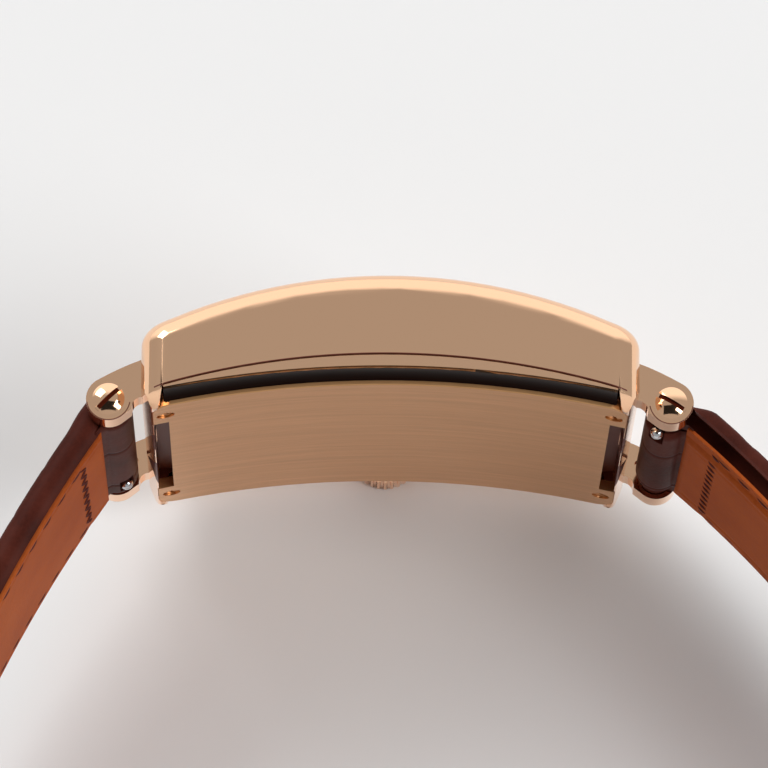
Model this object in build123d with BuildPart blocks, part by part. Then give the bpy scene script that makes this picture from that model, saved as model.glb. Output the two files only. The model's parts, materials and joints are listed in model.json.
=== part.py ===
from build123d import *
import math
import os

# Curved rectangular wristwatch on a two-piece leather strap, lying on its crown side.
# The pieces are drawn in the watch's own directions: +X from 12 to 6 o'clock, +Y from 9 to
# 3 o'clock, +Z out of the dial, with zero height on the line of the lug screws. At the end the
# whole watch is turned to rest on its crown, its buckle and the tip of its strap.

# Case outline
case_length = 36.8
case_width = 32.5
case_corner = 2.2
top_z = 8.87
top_arch = 40.0
top_round = 1.75
seam_z = 2.48
seam_arch = 58.5
end_foot_z = 0.25
end_bevel_x = 17.72
end_bevel_z = -1.15
pillar_tip_x = 17.4
pillar_tip_z = -1.35
pillar_inner_x = 17.0
pillar_inner_z = -1.05
pillar_wall_x = 16.75
pillar_wall_y = 14.1
pillar_side_z = -0.1
pillar_bulge = 0.12
overrun = 6.0

# Fits
clearance = 0.05
running = 0.03
thread_gap = 0.02

# Lugs and their screws
lug_outer = 12.05
lug_thick = 2.0
lug_root = 0.5
lug_axis_x = 20.85
lug_eye = 1.66
lug_top_z = 3.02
lug_mid_x = 20.05
lug_mid_z = 2.31
lug_join_x = 21.55
lug_under_x = 19.9
lug_heel_x = 19.12
lug_heel_z = -0.75
lug_notch_x = 18.93
lug_notch_z = -0.12
lug_foot_z = 0.14
lug_screw_head = 1.2
lug_screw_dome = 0.36
lug_screw_shank = 0.6
lug_screw_depth = 0.9
lug_slot_width = 0.34
lug_slot_depth = 0.26
lug_slot_turn_12 = 50.0
lug_slot_turn_6 = -30.0
pivot_radius = 0.4
pivot_depth = 0.75
pivot_reach = 0.65
bar_end_gap = 0.45
key_hole_radius = 0.32
key_hole_depth = 0.5
key_hole_x = 19.5
key_hole_z = 1.1

# Back cover and the frame it closes
cover_length = 35.2
cover_width = 28.1
cover_corner = 1.5
cover_z = 0.67
cover_arch = 79.1
cover_thick = 0.8
cover_edge_break = 0.08
notch_x = 16.4
notch_half = 9.45
pocket_end_x = 17.5
pocket_roof_z = 0.35
flush_gap = 0.05
cove_outer_z = 1.54
cove_inner_z = 0.97
cove_sag = 0.22
cover_screw_x = 16.61
cover_screw_y = 11.4
cover_screw_hole = 0.68
cover_screw_head = 0.62
cover_screw_thick = 0.45
cover_screw_sink = 0.15
cover_screw_shank = 0.4
cover_screw_depth = 2.0
cover_slot_width = 0.22
cover_slot_depth = 0.16
cover_slot_turn = 40.0
cover_slot_swing = 25.0
frame_length = 32.6
frame_wing_length = 33.4
frame_open_length = 28.8
frame_open_width = 25.2
frame_open_corner = 2.0
groove_height = 0.12
groove_depth = 0.4
back_gasket_length = 31.2
back_gasket_width = 27.4
back_gasket_wide = 0.6
back_gasket_thick = 0.25
back_gasket_corner = 2.0

# Cavity, crystal and dial
cavity_length = 29.4
cavity_width = 26.6
cavity_corner = 2.5
ceiling_z = 7.0
dial_arch = 60.0
ledge_z = 7.7
ledge_arch = 52.0
crystal_length = 26.8
crystal_width = 23.4
crystal_corner = 3.5
crystal_top_z = 9.35
crystal_top_arch = 50.0
crystal_hollow_z = 8.35
crystal_wall = 1.2
crystal_edge_round = 0.35
gasket_wall = 0.28
gasket_height = 0.45
dial_top_z = 6.6
dial_thick = 0.4
dial_length = 29.0
dial_width = 26.2
dial_corner = 2.3
dial_hole = 0.9
seconds_hole = 0.32
flange_inner_length = 23.6
flange_inner_width = 20.2
flange_inner_corner = 3.0
marker_height = 0.22
marker_length = 1.7
marker_width = 0.5
marker_ring_x = 10.3
marker_ring_y = 8.7
marker_count = 12

# Crown, stem and tube
stem_z = 3.9
crown_radius = 2.62
crown_inner_y = 16.7
crown_outer_y = 19.45
crown_dome = 0.15
crown_round = 0.45
knurl_count = 30
knurl_radius = 0.17
crown_recess = 1.5
crown_recess_depth = 1.2
tube_radius = 1.0
tube_bore = 0.62
tube_inner_y = 12.95
tube_outer_y = 17.6
seal_radius = 0.2
stem_radius = 0.55
stem_inner_y = 4.4
stem_end_y = 18.6
stem_pilot = 0.3
stem_pilot_y = 5.65
stem_groove_radius = 0.38
stem_groove_y = 11.6
stem_groove_wide = 0.5

# Movement heights, from the back towards the dial
plate_radius = 12.5
plate_low_z = 3.4
plate_top_z = 4.4
bridge_low_z = 2.1
bridge_top_z = 2.5
cock_low_z = 1.75
cock_top_z = 2.2
bridge_radius = 11.8
barrel_bridge_edge_x = -0.9
barrel_bridge_edge_y = -3.3
train_bridge_edge_y = -5.0
bridge_split = 0.1
channel_half = 1.35
channel_inner_y = 5.6
spacer_length = 29.2
spacer_width = 26.4
spacer_corner = 2.4
spacer_low_z = 2.5
spacer_top_z = 3.6
pillar_radius = 0.6
foot_ring = 11.1
inner_foot_ring = 6.15
third_foot_ring = 10.2
barrel_foot_directions = (183.0, 118.0)
inner_foot_direction = 205.3
train_foot_directions = (24.0, -19.0)
third_foot_direction = 70.0
dial_foot_x = 8.5
dial_foot_y = 6.0
dial_foot_radius = 0.4
dial_foot_low_z = 3.6
bridge_screw_head = 0.6
bridge_screw_thick = 0.24
bridge_screw_shank = 0.3
bridge_screw_end_z = 4.1
bridge_slot_width = 0.16
bridge_slot_depth = 0.1
jewel_radius = 0.4
jewel_thick = 0.3
arbor_radius = 0.17
arbor_pivot = 0.09
arbor_low_z = 2.56
arbor_top_z = 3.34
pivot_gap = 0.02

# Going train: tooth counts are fixed by the gearing, modules by the space
barrel_teeth = 72
centre_pinion_teeth = 12
barrel_module = 0.15
centre_teeth = 64
third_pinion_teeth = 8
centre_module = 0.1125
third_teeth = 60
fourth_pinion_teeth = 8
third_module = 0.095
fourth_teeth = 70
escape_pinion_teeth = 7
fourth_module = 0.08
motion_module = 0.12
cannon_teeth = 10
minute_wheel_teeth = 30
minute_pinion_teeth = 8
hour_teeth = 32
barrel_low_z = 2.6
barrel_top_z = 3.05
centre_low_z = 3.12
centre_top_z = 3.3
fourth_low_z = 2.86
fourth_top_z = 3.02
third_low_z = 2.62
third_top_z = 2.78
escape_tooth_count = 15
escape_radius = 1.9
escape_root = 1.5
escape_rim = 1.15
escape_hook_share = 0.94
escape_tooth_wide = 0.12
escape_tooth_turn = 12.0
escape_low_z = 3.12
escape_top_z = 3.28
fourth_x = 6.0
barrel_direction = 145.7
escape_direction = -110.0
minute_wheel_direction = 135.0
drum_wall = 0.3
drum_radius = 4.9
drum_floor = 0.1
barrel_gear_top_z = 2.9
barrel_arbor_radius = 0.45
mainspring_inner = 0.8
mainspring_pitch = 0.62
mainspring_wall = 0.2
mainspring_turns = 5
spring_gap = 0.04
addendum_share = 0.85
dedendum_share = 1.25
tooth_tip_share = 0.2
tooth_pitch_share = 0.36
tooth_root_share = 0.44
crossing_share = 0.27
crossing_ring_share = 0.56
crossing_count = 5

# Escapement
balance_x = -1.0
balance_y = -6.8
balance_radius = 3.5
balance_rim = 0.35
balance_low_z = 2.62
balance_top_z = 2.9
balance_arm = 0.4
balance_arm_count = 3
collet_radius = 0.56
roller_radius = 0.6
roller_low_z = 3.0
roller_top_z = 3.15
pallet_from_escape = 2.9
fork_width = 0.34
fork_gap = 0.5
pallet_arm = 1.3
pallet_stone = 0.3
hairspring_low_z = 2.3
hairspring_top_z = 2.48
hairspring_inner = 0.6
hairspring_pitch = 0.22
hairspring_turns = 5
hairspring_wall = 0.05
cock_foot_x = -7.5
cock_foot_y = -8.5
cock_width = 3.0

# Winding wheels on the barrel bridge
winding_module = 0.135
crown_wheel_direction = 60.0
winding_wheel_low_z = 1.7
winding_wheel_top_z = 2.05
winding_teeth_ratchet = 46
winding_teeth_crown = 31
winding_post = 0.8
pinion_radius = 1.05
pinion_bore = 0.58
winding_pinion_y = 7.0
winding_pinion_long = 1.3
sliding_pinion_y = 8.6
sliding_pinion_long = 1.9
sliding_waist = 0.8
sliding_waist_long = 0.5
pinion_tooth_count = 14
pinion_tooth_depth = 0.2

# Motion works and hands
cannon_low_z = 4.5
cannon_gear_top_z = 4.78
cannon_pipe = 0.42
cannon_bore = 0.24
centre_arbor_radius = 0.22
minute_post = 0.18
minute_wheel_low_z = 4.52
minute_wheel_top_z = 4.72
minute_pinion_top_z = 5.16
hour_wheel_low_z = 4.88
hour_wheel_top_z = 5.1
hour_pipe = 0.72
hour_pipe_bore = 0.45
hour_hand_z = 6.97
hour_hand_thick = 0.13
minute_hand_z = 7.32
minute_hand_thick = 0.12
seconds_hand_z = 6.64
seconds_hand_thick = 0.1
hand_hub = 1.1
hour_hand_reach = 6.6
hour_hand_width = 0.95
minute_hand_reach = 9.6
minute_hand_width = 0.75
seconds_hand_reach = 2.4
seconds_hand_tail = 0.8
seconds_hand_width = 0.22
seconds_hub = 0.36
fourth_post = 0.16
blade_wide_share = 0.3
hour_hand_clock = 304.0
minute_hand_clock = 48.0
seconds_hand_clock = 215.0

# Strap: each half is an arc that starts at its lug bar
strap_half = 9.85
strap_tip_half = 8.0
strap_thick = 2.1
lining_thick = 0.55
lining_inset = 0.3
loop_radius = 1.7
bar_radius = 0.75
bar_half = 9.6
bar_bore = 0.5
lining_start = 2.3
strap_length_12 = 68.0
strap_length_6 = 110.0
strap_start_12 = 55.0
strap_end_12 = 90.0
strap_start_6 = 40.0
strap_end_6 = 118.0
strap_rise_12 = 0.2
strap_rise_6 = 0.65
strap_shoulder_z = -2.0
tip_rise = 7.0
adjust_hole_count = 7
adjust_hole_radius = 1.0
adjust_hole_pitch = 6.6
adjust_hole_from_tip = 26.0

# Quick-release pins
release_y = 8.0
release_rod = 0.45
release_rod_long = 4.2
release_post = 0.22
release_ball = 0.5
release_out = 1.5
release_slot_wide = 1.25
release_slot_long = 2.6
release_travel = 0.9
release_lean_12 = 34.0
release_lean_6 = 35.0

# Buckle and keepers
buckle_outer_half = 10.4
buckle_arm = 2.0
buckle_front = 9.6
buckle_front_bar = 2.2
buckle_thick = 2.3
buckle_corner = 2.6
buckle_round = 0.5
buckle_bar_radius = 0.7
buckle_bar_end = 0.6
buckle_loop = 1.55
buckle_tail = 1.3
tongue_ring = 1.3
tongue_width = 1.7
tongue_thick = 0.85
tongue_gap = 0.06
tongue_tip = 9.4
tongue_slot = 2.2
tongue_slot_long = 5.0
keeper_wall = 1.0
keeper_gap = 0.25
keeper_long = 5.0
keeper_corner = 0.6
fixed_keeper_at = 57.0
free_keeper_at = 44.0

mesh_tolerance = 0.02
stance_rounds = 6

os.makedirs("parts", exist_ok=True)
pieces = {}


def keep(name, piece):
    """Label one finished piece and remember it until the watch is set down."""
    piece.label = name
    pieces[name] = piece


def sagitta(radius, half):
    """Fall of an arc of this radius at a distance half from its crown."""
    return radius - math.sqrt(radius**2 - half**2)


def arc_z(crown_z, radius, x):
    """Height of an arch over x."""
    return crown_z - sagitta(radius, x)


def arched_block(length, width, corner, low_z, low_arch, high_z, high_arch):
    """Block with rounded corners in plan, between two arches that fall away along X."""
    reach = length / 2 + clearance
    floor_z = arc_z(low_z, low_arch, reach) - overrun
    with BuildPart() as block:
        with BuildSketch(Plane.XY.offset(floor_z)):
            RectangleRounded(length, width, corner)
        extrude(amount=high_z - floor_z + overrun)
        with BuildSketch(Plane.XZ):
            with BuildLine():
                low_end = arc_z(low_z, low_arch, reach)
                high_end = arc_z(high_z, high_arch, reach)
                ThreePointArc((-reach, low_end), (0, low_z), (reach, low_end))
                Line((reach, low_end), (reach, high_end))
                ThreePointArc((reach, high_end), (0, high_z), (-reach, high_end))
                Line((-reach, high_end), (-reach, low_end))
            make_face()
        extrude(amount=width, both=True, mode=Mode.INTERSECT)
    return block.part


def peg(radius, low_z, high_z, x=0, y=0, mode=Mode.ADD):
    """Upright cylinder between two heights, joined to the part being built."""
    with Locations((x, y, low_z)):
        Cylinder(radius, high_z - low_z, align=(Align.CENTER, Align.CENTER, Align.MIN), mode=mode)


def bore(radius, low_z, high_z, x=0, y=0):
    """Upright round hole between two heights, cut from the part being built."""
    peg(radius, low_z, high_z, x, y, Mode.SUBTRACT)


def rod(radius, start_y, end_y, x=0, z=0, mode=Mode.ADD):
    """Cylinder along Y between two places, added to or cut from the part being built."""
    with Locations(Location((x, (start_y + end_y) / 2, z), (90, 0, 0))):
        Cylinder(radius, abs(end_y - start_y), mode=mode)


def tooth_ring(teeth, module, phase):
    """Root circle with slim teeth, one of them at the angle phase, in the sketch being built."""
    pitch_radius = teeth * module / 2
    root_radius = pitch_radius - dedendum_share * module
    tip_radius = pitch_radius + addendum_share * module
    tooth = math.pi * module
    Circle(root_radius)
    with PolarLocations(0, teeth, start_angle=phase):
        Polygon(
            (root_radius * math.cos(math.pi / teeth), -tooth_root_share * tooth / 2),
            (pitch_radius, -tooth_pitch_share * tooth / 2),
            (tip_radius, -tooth_tip_share * tooth / 2),
            (tip_radius, tooth_tip_share * tooth / 2),
            (pitch_radius, tooth_pitch_share * tooth / 2),
            (root_radius * math.cos(math.pi / teeth), tooth_root_share * tooth / 2),
            align=None,
        )


def gear(teeth, module, phase, low_z, high_z, place, crossings=0):
    """Toothed disc between two heights at a place in plan, joined to the part being built."""
    with BuildPart() as disc:
        with BuildSketch(Plane((place[0], place[1], low_z))):
            tooth_ring(teeth, module, phase)
            if crossings:
                root_radius = teeth * module / 2 - dedendum_share * module
                with PolarLocations(crossing_ring_share * root_radius, crossings):
                    Circle(crossing_share * root_radius, mode=Mode.SUBTRACT)
        extrude(amount=high_z - low_z)
    add(disc.part)


def polar(distance, degrees, start=(0, 0)):
    """Point at a distance and direction from a start."""
    turn = math.radians(degrees)
    return (start[0] + distance * math.cos(turn), start[1] + distance * math.sin(turn))


def direction(start, end):
    """Direction in degrees from one point in plan to another."""
    return math.degrees(math.atan2(end[1] - start[1], end[0] - start[0]))


def mate_phase(phase, teeth, mate_teeth, towards):
    """Phase of a mating wheel, whose gap meets the tooth of the first on their line of centres."""
    return towards + 180 - (phase - towards) * teeth / mate_teeth + 180 / mate_teeth


def arbor(place, low_z, high_z):
    """Arbor with a thin pivot at each end, joined to the part being built."""
    peg(arbor_radius, arbor_low_z, arbor_top_z, *place)
    peg(arbor_pivot, low_z, high_z, *place)


# Places of the axles in plan
centre_at = (0, 0)
fourth_at = (fourth_x, 0)
centre_to_third = (centre_teeth + third_pinion_teeth) * centre_module / 2
third_to_fourth = (third_teeth + fourth_pinion_teeth) * third_module / 2
third_x = (centre_to_third**2 - third_to_fourth**2 + fourth_x**2) / (2 * fourth_x)
third_at = (third_x, math.sqrt(centre_to_third**2 - third_x**2))
barrel_at = polar((barrel_teeth + centre_pinion_teeth) * barrel_module / 2, barrel_direction)
escape_distance = (fourth_teeth + escape_pinion_teeth) * fourth_module / 2
escape_at = polar(escape_distance, escape_direction, fourth_at)
balance_at = (balance_x, balance_y)
escape_to_balance = direction(escape_at, balance_at)
pallet_at = polar(pallet_from_escape, escape_to_balance, escape_at)
minute_wheel_at = polar((cannon_teeth + minute_wheel_teeth) * motion_module / 2, minute_wheel_direction)
winding_distance = (winding_teeth_ratchet + winding_teeth_crown) * winding_module / 2
crown_wheel_at = polar(winding_distance, crown_wheel_direction, barrel_at)
cock_foot_at = (cock_foot_x, cock_foot_y)
barrel_bridge_feet = [polar(foot_ring, turn) for turn in barrel_foot_directions]
barrel_bridge_feet.append(polar(inner_foot_ring, inner_foot_direction))
train_bridge_feet = [polar(foot_ring, turn) for turn in train_foot_directions]
train_bridge_feet.append(polar(third_foot_ring, third_foot_direction))
dial_feet = [(-dial_foot_x, -dial_foot_y), (dial_foot_x, dial_foot_y)]
jewelled = [third_at, fourth_at, escape_at, pallet_at]


def cover_blank(grow, low_z, high_z):
    """Outline of the back cover, grown by a gap, between two arches over its outer face."""
    blank = arched_block(
        cover_length + 2 * grow,
        cover_width + 2 * grow,
        cover_corner + grow,
        low_z,
        cover_arch,
        high_z,
        cover_arch + cover_thick,
    )
    with BuildPart() as cover:
        add(blank)
        for side in (-1, 1):
            with BuildSketch(Plane.XY.offset(low_z - overrun)):
                with Locations((side * (notch_x + grow + overrun / 2), 0)):
                    Rectangle(overrun, 2 * (notch_half - grow))
            extrude(amount=2 * overrun, mode=Mode.SUBTRACT)
    return cover.part


def cover_screw_plane(side_x, side_y):
    """Plane on the cover's outer face at one screw, facing out of the back."""
    lean = math.asin(cover_screw_x / cover_arch)
    face_z = arc_z(cover_z, cover_arch, cover_screw_x)
    return Plane(
        origin=(side_x * cover_screw_x, side_y * cover_screw_y, face_z),
        x_dir=(0, 1, 0),
        z_dir=(-side_x * math.sin(lean), 0, -math.cos(lean)),
    )


# Upper case: band, bezel, corner pillars and lugs in one piece
with BuildPart() as lug_profile_tool:
    for side in (-1, 1):
        with BuildSketch(Plane.XZ):
            with BuildLine():
                root_x = case_length / 2 - lug_root
                join_z = math.sqrt(lug_eye**2 - (lug_join_x - lug_axis_x) ** 2)
                under_z = -math.sqrt(lug_eye**2 - (lug_under_x - lug_axis_x) ** 2)
                ThreePointArc(
                    (side * case_length / 2, lug_top_z),
                    (side * lug_mid_x, lug_mid_z),
                    (side * lug_join_x, join_z),
                )
                ThreePointArc(
                    (side * lug_join_x, join_z),
                    (side * (lug_axis_x + lug_eye), 0),
                    (side * lug_under_x, under_z),
                )
                Line((side * lug_under_x, under_z), (side * lug_heel_x, lug_heel_z))
                ThreePointArc(
                    (side * lug_heel_x, lug_heel_z),
                    (side * lug_notch_x, lug_notch_z),
                    (side * case_length / 2, lug_foot_z),
                )
                Polyline(
                    (side * case_length / 2, lug_foot_z),
                    (side * root_x, lug_foot_z),
                    (side * root_x, lug_top_z),
                    (side * case_length / 2, lug_top_z),
                )
            make_face()
        extrude(amount=lug_outer, both=True)
    with BuildSketch(Plane.XZ):
        Rectangle(2 * (lug_axis_x + lug_eye + overrun), 2 * overrun)
    extrude(amount=lug_outer - lug_thick, both=True, mode=Mode.SUBTRACT)

with BuildPart() as upper_shell:
    with BuildSketch(Plane.XY.offset(pillar_tip_z - clearance)):
        RectangleRounded(case_length, case_width, case_corner)
    extrude(amount=top_z - pillar_tip_z + overrun)
    with BuildSketch(Plane.XZ):
        with BuildLine():
            seam_end = arc_z(seam_z, seam_arch, pillar_wall_x)
            top_end = arc_z(top_z, top_arch, case_length / 2)
            ThreePointArc((-pillar_wall_x, seam_end), (0, seam_z), (pillar_wall_x, seam_end))
            ThreePointArc((-case_length / 2, top_end), (0, top_z), (case_length / 2, top_end))
            for side in (-1, 1):
                Polyline(
                    (side * case_length / 2, top_end),
                    (side * case_length / 2, end_foot_z),
                    (side * end_bevel_x, end_bevel_z),
                )
                Spline(
                    (side * end_bevel_x, end_bevel_z),
                    (side * pillar_tip_x, pillar_tip_z),
                    (side * pillar_inner_x, pillar_inner_z),
                )
                Line((side * pillar_inner_x, pillar_inner_z), (side * pillar_wall_x, seam_end))
        make_face()
    extrude(amount=case_width, both=True, mode=Mode.INTERSECT)
    top_edges = upper_shell.faces().sort_by(Axis.Z)[-1].edges()
    fillet(top_edges, radius=top_round)
    for hand in (-1, 1):
        with BuildSketch(Plane.YZ):
            side_y = case_width / 2 + clearance
            middle_y = (side_y + pillar_wall_y) / 2
            middle_z = (pillar_side_z + pillar_tip_z) / 2 - pillar_bulge
            with BuildLine():
                ThreePointArc(
                    (hand * side_y, pillar_side_z),
                    (hand * middle_y, middle_z),
                    (hand * pillar_wall_y, pillar_tip_z),
                )
                Polyline(
                    (hand * pillar_wall_y, pillar_tip_z),
                    (hand * pillar_wall_y, pillar_tip_z - overrun),
                    (hand * side_y, pillar_tip_z - overrun),
                    (hand * side_y, pillar_side_z),
                )
            make_face()
        extrude(amount=case_length, both=True, mode=Mode.SUBTRACT)

flush_tool = arched_block(
    case_length + overrun,
    2 * pillar_wall_y,
    clearance,
    cover_z - overrun,
    cover_arch,
    cover_z - flush_gap,
    cover_arch,
)
cavity_tool = arched_block(
    cavity_length, cavity_width, cavity_corner, -overrun, dial_arch, ceiling_z, dial_arch
)
crystal_seat = arched_block(
    crystal_length + 2 * gasket_wall,
    crystal_width + 2 * gasket_wall,
    crystal_corner + gasket_wall,
    ledge_z,
    ledge_arch,
    top_z + overrun,
    top_arch,
)
view_opening = arched_block(
    crystal_length - 2 * crystal_wall,
    crystal_width - 2 * crystal_wall,
    crystal_corner - crystal_wall,
    ceiling_z - clearance - dial_thick,
    dial_arch,
    top_z + overrun,
    top_arch,
)

with BuildPart() as upper_case:
    add(upper_shell.part)
    add(lug_profile_tool.part)
    add(flush_tool, mode=Mode.SUBTRACT)
    add(cover_blank(clearance, cover_z - overrun, cover_z + cover_thick), mode=Mode.SUBTRACT)
    add(cavity_tool, mode=Mode.SUBTRACT)
    add(crystal_seat, mode=Mode.SUBTRACT)
    add(view_opening, mode=Mode.SUBTRACT)
    for side in (-1, 1):
        with BuildSketch(Plane.XY.offset(pillar_tip_z - overrun)):
            with Locations((side * (notch_x + pocket_end_x) / 2, 0)):
                Rectangle(pocket_end_x - notch_x + 2 * clearance, 2 * (notch_half - clearance))
        extrude(amount=pocket_roof_z - pillar_tip_z + overrun, mode=Mode.SUBTRACT)
    with BuildSketch(Plane.XZ.offset(-cavity_width / 2 + overrun)):
        with Locations((0, stem_z)):
            Circle(tube_radius + thread_gap)
    extrude(amount=-2 * overrun, mode=Mode.SUBTRACT)
    for side in (-1, 1):
        for hand in (-1, 1):
            with BuildSketch(Plane.XZ.offset(hand * (lug_outer + clearance))):
                with Locations((side * lug_axis_x, 0)):
                    Circle(lug_screw_shank + thread_gap)
            extrude(amount=-hand * (lug_screw_depth + 2 * clearance), mode=Mode.SUBTRACT)
            with BuildSketch(Plane.XZ.offset(hand * (lug_outer - lug_thick))):
                with Locations((side * lug_axis_x, 0)):
                    Circle(pivot_radius + running)
            extrude(amount=hand * pivot_depth, mode=Mode.SUBTRACT)
            with BuildSketch(Plane.XZ.offset(hand * (lug_outer - lug_thick))):
                with Locations((side * key_hole_x, key_hole_z)):
                    Circle(key_hole_radius)
            extrude(amount=hand * key_hole_depth, mode=Mode.SUBTRACT)
            with BuildSketch(cover_screw_plane(side, hand)):
                Circle(cover_screw_shank + thread_gap)
            extrude(amount=-(cover_screw_depth + clearance), mode=Mode.SUBTRACT)
keep("upper_case", upper_case.part)

# Base frame: the strip of the case side below the seam, with its dark cove
cove_axis = Axis((0, 0, cove_outer_z - cover_arch), (0, 1, 0))
with BuildPart() as cove_tool:
    for hand in (-1, 1):
        with BuildSketch(Plane.YZ):
            with BuildLine():
                outer = (hand * (case_width / 2 + clearance), cove_outer_z)
                inner = (hand * cover_width / 2, cove_inner_z)
                middle_y = hand * (case_width + cover_width) / 4
                ThreePointArc(
                    outer, (middle_y, (cove_outer_z + cove_inner_z) / 2 + cove_sag), inner
                )
                Polyline(
                    inner,
                    (inner[0], cove_inner_z - overrun),
                    (outer[0], cove_inner_z - overrun),
                    outer,
                )
            make_face()
        revolve(axis=cove_axis)

seam_axis = Axis((0, 0, seam_z - seam_arch), (0, 1, 0))
with BuildPart() as seam_tool:
    for hand in (-1, 1):
        with BuildSketch(Plane.YZ):
            with Locations((hand * case_width / 2, seam_z)):
                Rectangle(2 * groove_depth, 2 * groove_height)
        revolve(axis=seam_axis)

with BuildPart() as base_frame:
    add(
        arched_block(
            frame_wing_length, case_width, clearance, cove_inner_z, cover_arch, seam_z, seam_arch
        )
    )
    for side in (-1, 1):
        with BuildSketch(Plane.XY.offset(pillar_tip_z - overrun)):
            with Locations((side * (frame_length + overrun) / 2, 0)):
                Rectangle(overrun, 2 * pillar_wall_y)
        extrude(amount=3 * overrun, mode=Mode.SUBTRACT)
    add(cover_blank(clearance, cover_z - overrun, cover_z + cover_thick), mode=Mode.SUBTRACT)
    add(cove_tool.part, mode=Mode.SUBTRACT)
    add(seam_tool.part, mode=Mode.SUBTRACT)
    for side in (-1, 1):
        for hand in (-1, 1):
            with BuildSketch(cover_screw_plane(side, hand)):
                Circle(cover_screw_shank + thread_gap)
            extrude(amount=-(cover_screw_depth + clearance), mode=Mode.SUBTRACT)
    with BuildSketch(Plane.XY.offset(pillar_tip_z - overrun)):
        RectangleRounded(frame_open_length, frame_open_width, frame_open_corner)
    extrude(amount=3 * overrun, mode=Mode.SUBTRACT)
    gasket_z = cover_z + cover_thick
    add(
        arched_block(
            back_gasket_length,
            back_gasket_width,
            back_gasket_corner,
            gasket_z - overrun,
            cover_arch,
            gasket_z + back_gasket_thick,
            cover_arch + cover_thick,
        )
        - arched_block(
            back_gasket_length - 2 * back_gasket_wide,
            back_gasket_width - 2 * back_gasket_wide,
            back_gasket_corner - back_gasket_wide,
            gasket_z - overrun - clearance,
            cover_arch,
            gasket_z + back_gasket_thick + clearance,
            cover_arch + cover_thick,
        ),
        mode=Mode.SUBTRACT,
    )
keep("base_frame", base_frame.part)

with BuildPart() as back_gasket:
    add(
        arched_block(
            back_gasket_length,
            back_gasket_width,
            back_gasket_corner,
            gasket_z,
            cover_arch + cover_thick,
            gasket_z + back_gasket_thick,
            cover_arch + cover_thick,
        )
    )
    with BuildSketch(Plane.XY.offset(gasket_z - overrun)):
        RectangleRounded(
            back_gasket_length - 2 * back_gasket_wide,
            back_gasket_width - 2 * back_gasket_wide,
            back_gasket_corner - back_gasket_wide,
        )
    extrude(amount=2 * overrun, mode=Mode.SUBTRACT)
keep("back_gasket", back_gasket.part)

# Back cover and its four slotted screws
with BuildPart() as back_cover:
    add(cover_blank(0, cover_z, cover_z + cover_thick))
    chamfer(back_cover.faces().sort_by(Axis.Z)[0].edges(), length=cover_edge_break)
    for side in (-1, 1):
        for hand in (-1, 1):
            face = cover_screw_plane(side, hand)
            with BuildSketch(face.offset(clearance)):
                Circle(cover_screw_hole)
            extrude(amount=-(cover_screw_sink + cover_screw_thick + clearance), mode=Mode.SUBTRACT)
            with BuildSketch(face.offset(clearance)):
                Circle(cover_screw_shank + thread_gap)
            extrude(amount=-(cover_thick + 3 * clearance), mode=Mode.SUBTRACT)
keep("back_cover", back_cover.part)

with BuildPart() as back_screws:
    for side in (-1, 1):
        for hand in (-1, 1):
            face = cover_screw_plane(side, hand).offset(-cover_screw_sink)
            with BuildSketch(face):
                Circle(cover_screw_head)
            extrude(amount=-cover_screw_thick)
            with BuildSketch(face):
                Circle(cover_screw_shank)
            extrude(amount=-(cover_screw_depth - cover_screw_sink))
            with BuildSketch(face):
                Rectangle(3 * cover_screw_head, cover_slot_width, rotation=hand * side * cover_slot_swing + cover_slot_turn)
            extrude(amount=-cover_slot_depth, mode=Mode.SUBTRACT)
keep("back_screws", back_screws.part)

# Lug screws: domed slotted heads on short shanks
with BuildPart() as lug_screws:
    dome_arc = (lug_screw_head**2 + lug_screw_dome**2) / (2 * lug_screw_dome)
    for side in (-1, 1):
        turn = lug_slot_turn_12 if side < 0 else lug_slot_turn_6
        for hand in (-1, 1):
            axis_x = side * lug_axis_x
            top_y = hand * (lug_outer + lug_screw_dome)
            half_y = top_y - hand * sagitta(dome_arc, lug_screw_head / 2)
            with BuildSketch(Plane.XY):
                with BuildLine():
                    ThreePointArc(
                        (axis_x, top_y),
                        (axis_x + lug_screw_head / 2, half_y),
                        (axis_x + lug_screw_head, hand * lug_outer),
                    )
                    Polyline(
                        (axis_x + lug_screw_head, hand * lug_outer),
                        (axis_x + lug_screw_shank, hand * lug_outer),
                        (axis_x + lug_screw_shank, hand * (lug_outer - lug_screw_depth)),
                        (axis_x, hand * (lug_outer - lug_screw_depth)),
                        (axis_x, top_y),
                    )
                make_face()
            revolve(axis=Axis((axis_x, 0, 0), (0, 1, 0)))
            slot_face = Plane(origin=(axis_x, top_y, 0), x_dir=(1, 0, 0), z_dir=(0, hand, 0))
            with BuildSketch(slot_face):
                Rectangle(3 * lug_screw_head, lug_slot_width, rotation=-hand * turn)
            extrude(amount=-(lug_slot_depth + lug_screw_dome / 4), mode=Mode.SUBTRACT)
keep("lug_screws", lug_screws.part)

# Crystal, its gasket, the dial ring and the dial
with BuildPart() as crystal:
    add(
        arched_block(
            crystal_length,
            crystal_width,
            crystal_corner,
            ledge_z,
            ledge_arch,
            crystal_top_z,
            crystal_top_arch,
        )
    )
    fillet(crystal.faces().sort_by(Axis.Z)[-1].edges(), radius=crystal_edge_round)
    add(
        arched_block(
            crystal_length - 2 * crystal_wall,
            crystal_width - 2 * crystal_wall,
            crystal_corner - crystal_wall,
            ledge_z - overrun,
            ledge_arch,
            crystal_hollow_z,
            dial_arch,
        ),
        mode=Mode.SUBTRACT,
    )
keep("crystal", crystal.part)


def arched_ring(outer, inner, low_z, high_z, arch):
    """Ring between two outlines of length, width and corner, and between two like arches."""
    with BuildPart() as ring:
        add(arched_block(*outer, low_z, arch, high_z, arch))
        with BuildSketch(Plane.XY.offset(low_z - 2 * overrun)):
            RectangleRounded(*inner)
        extrude(amount=4 * overrun, mode=Mode.SUBTRACT)
    return ring.part


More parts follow.
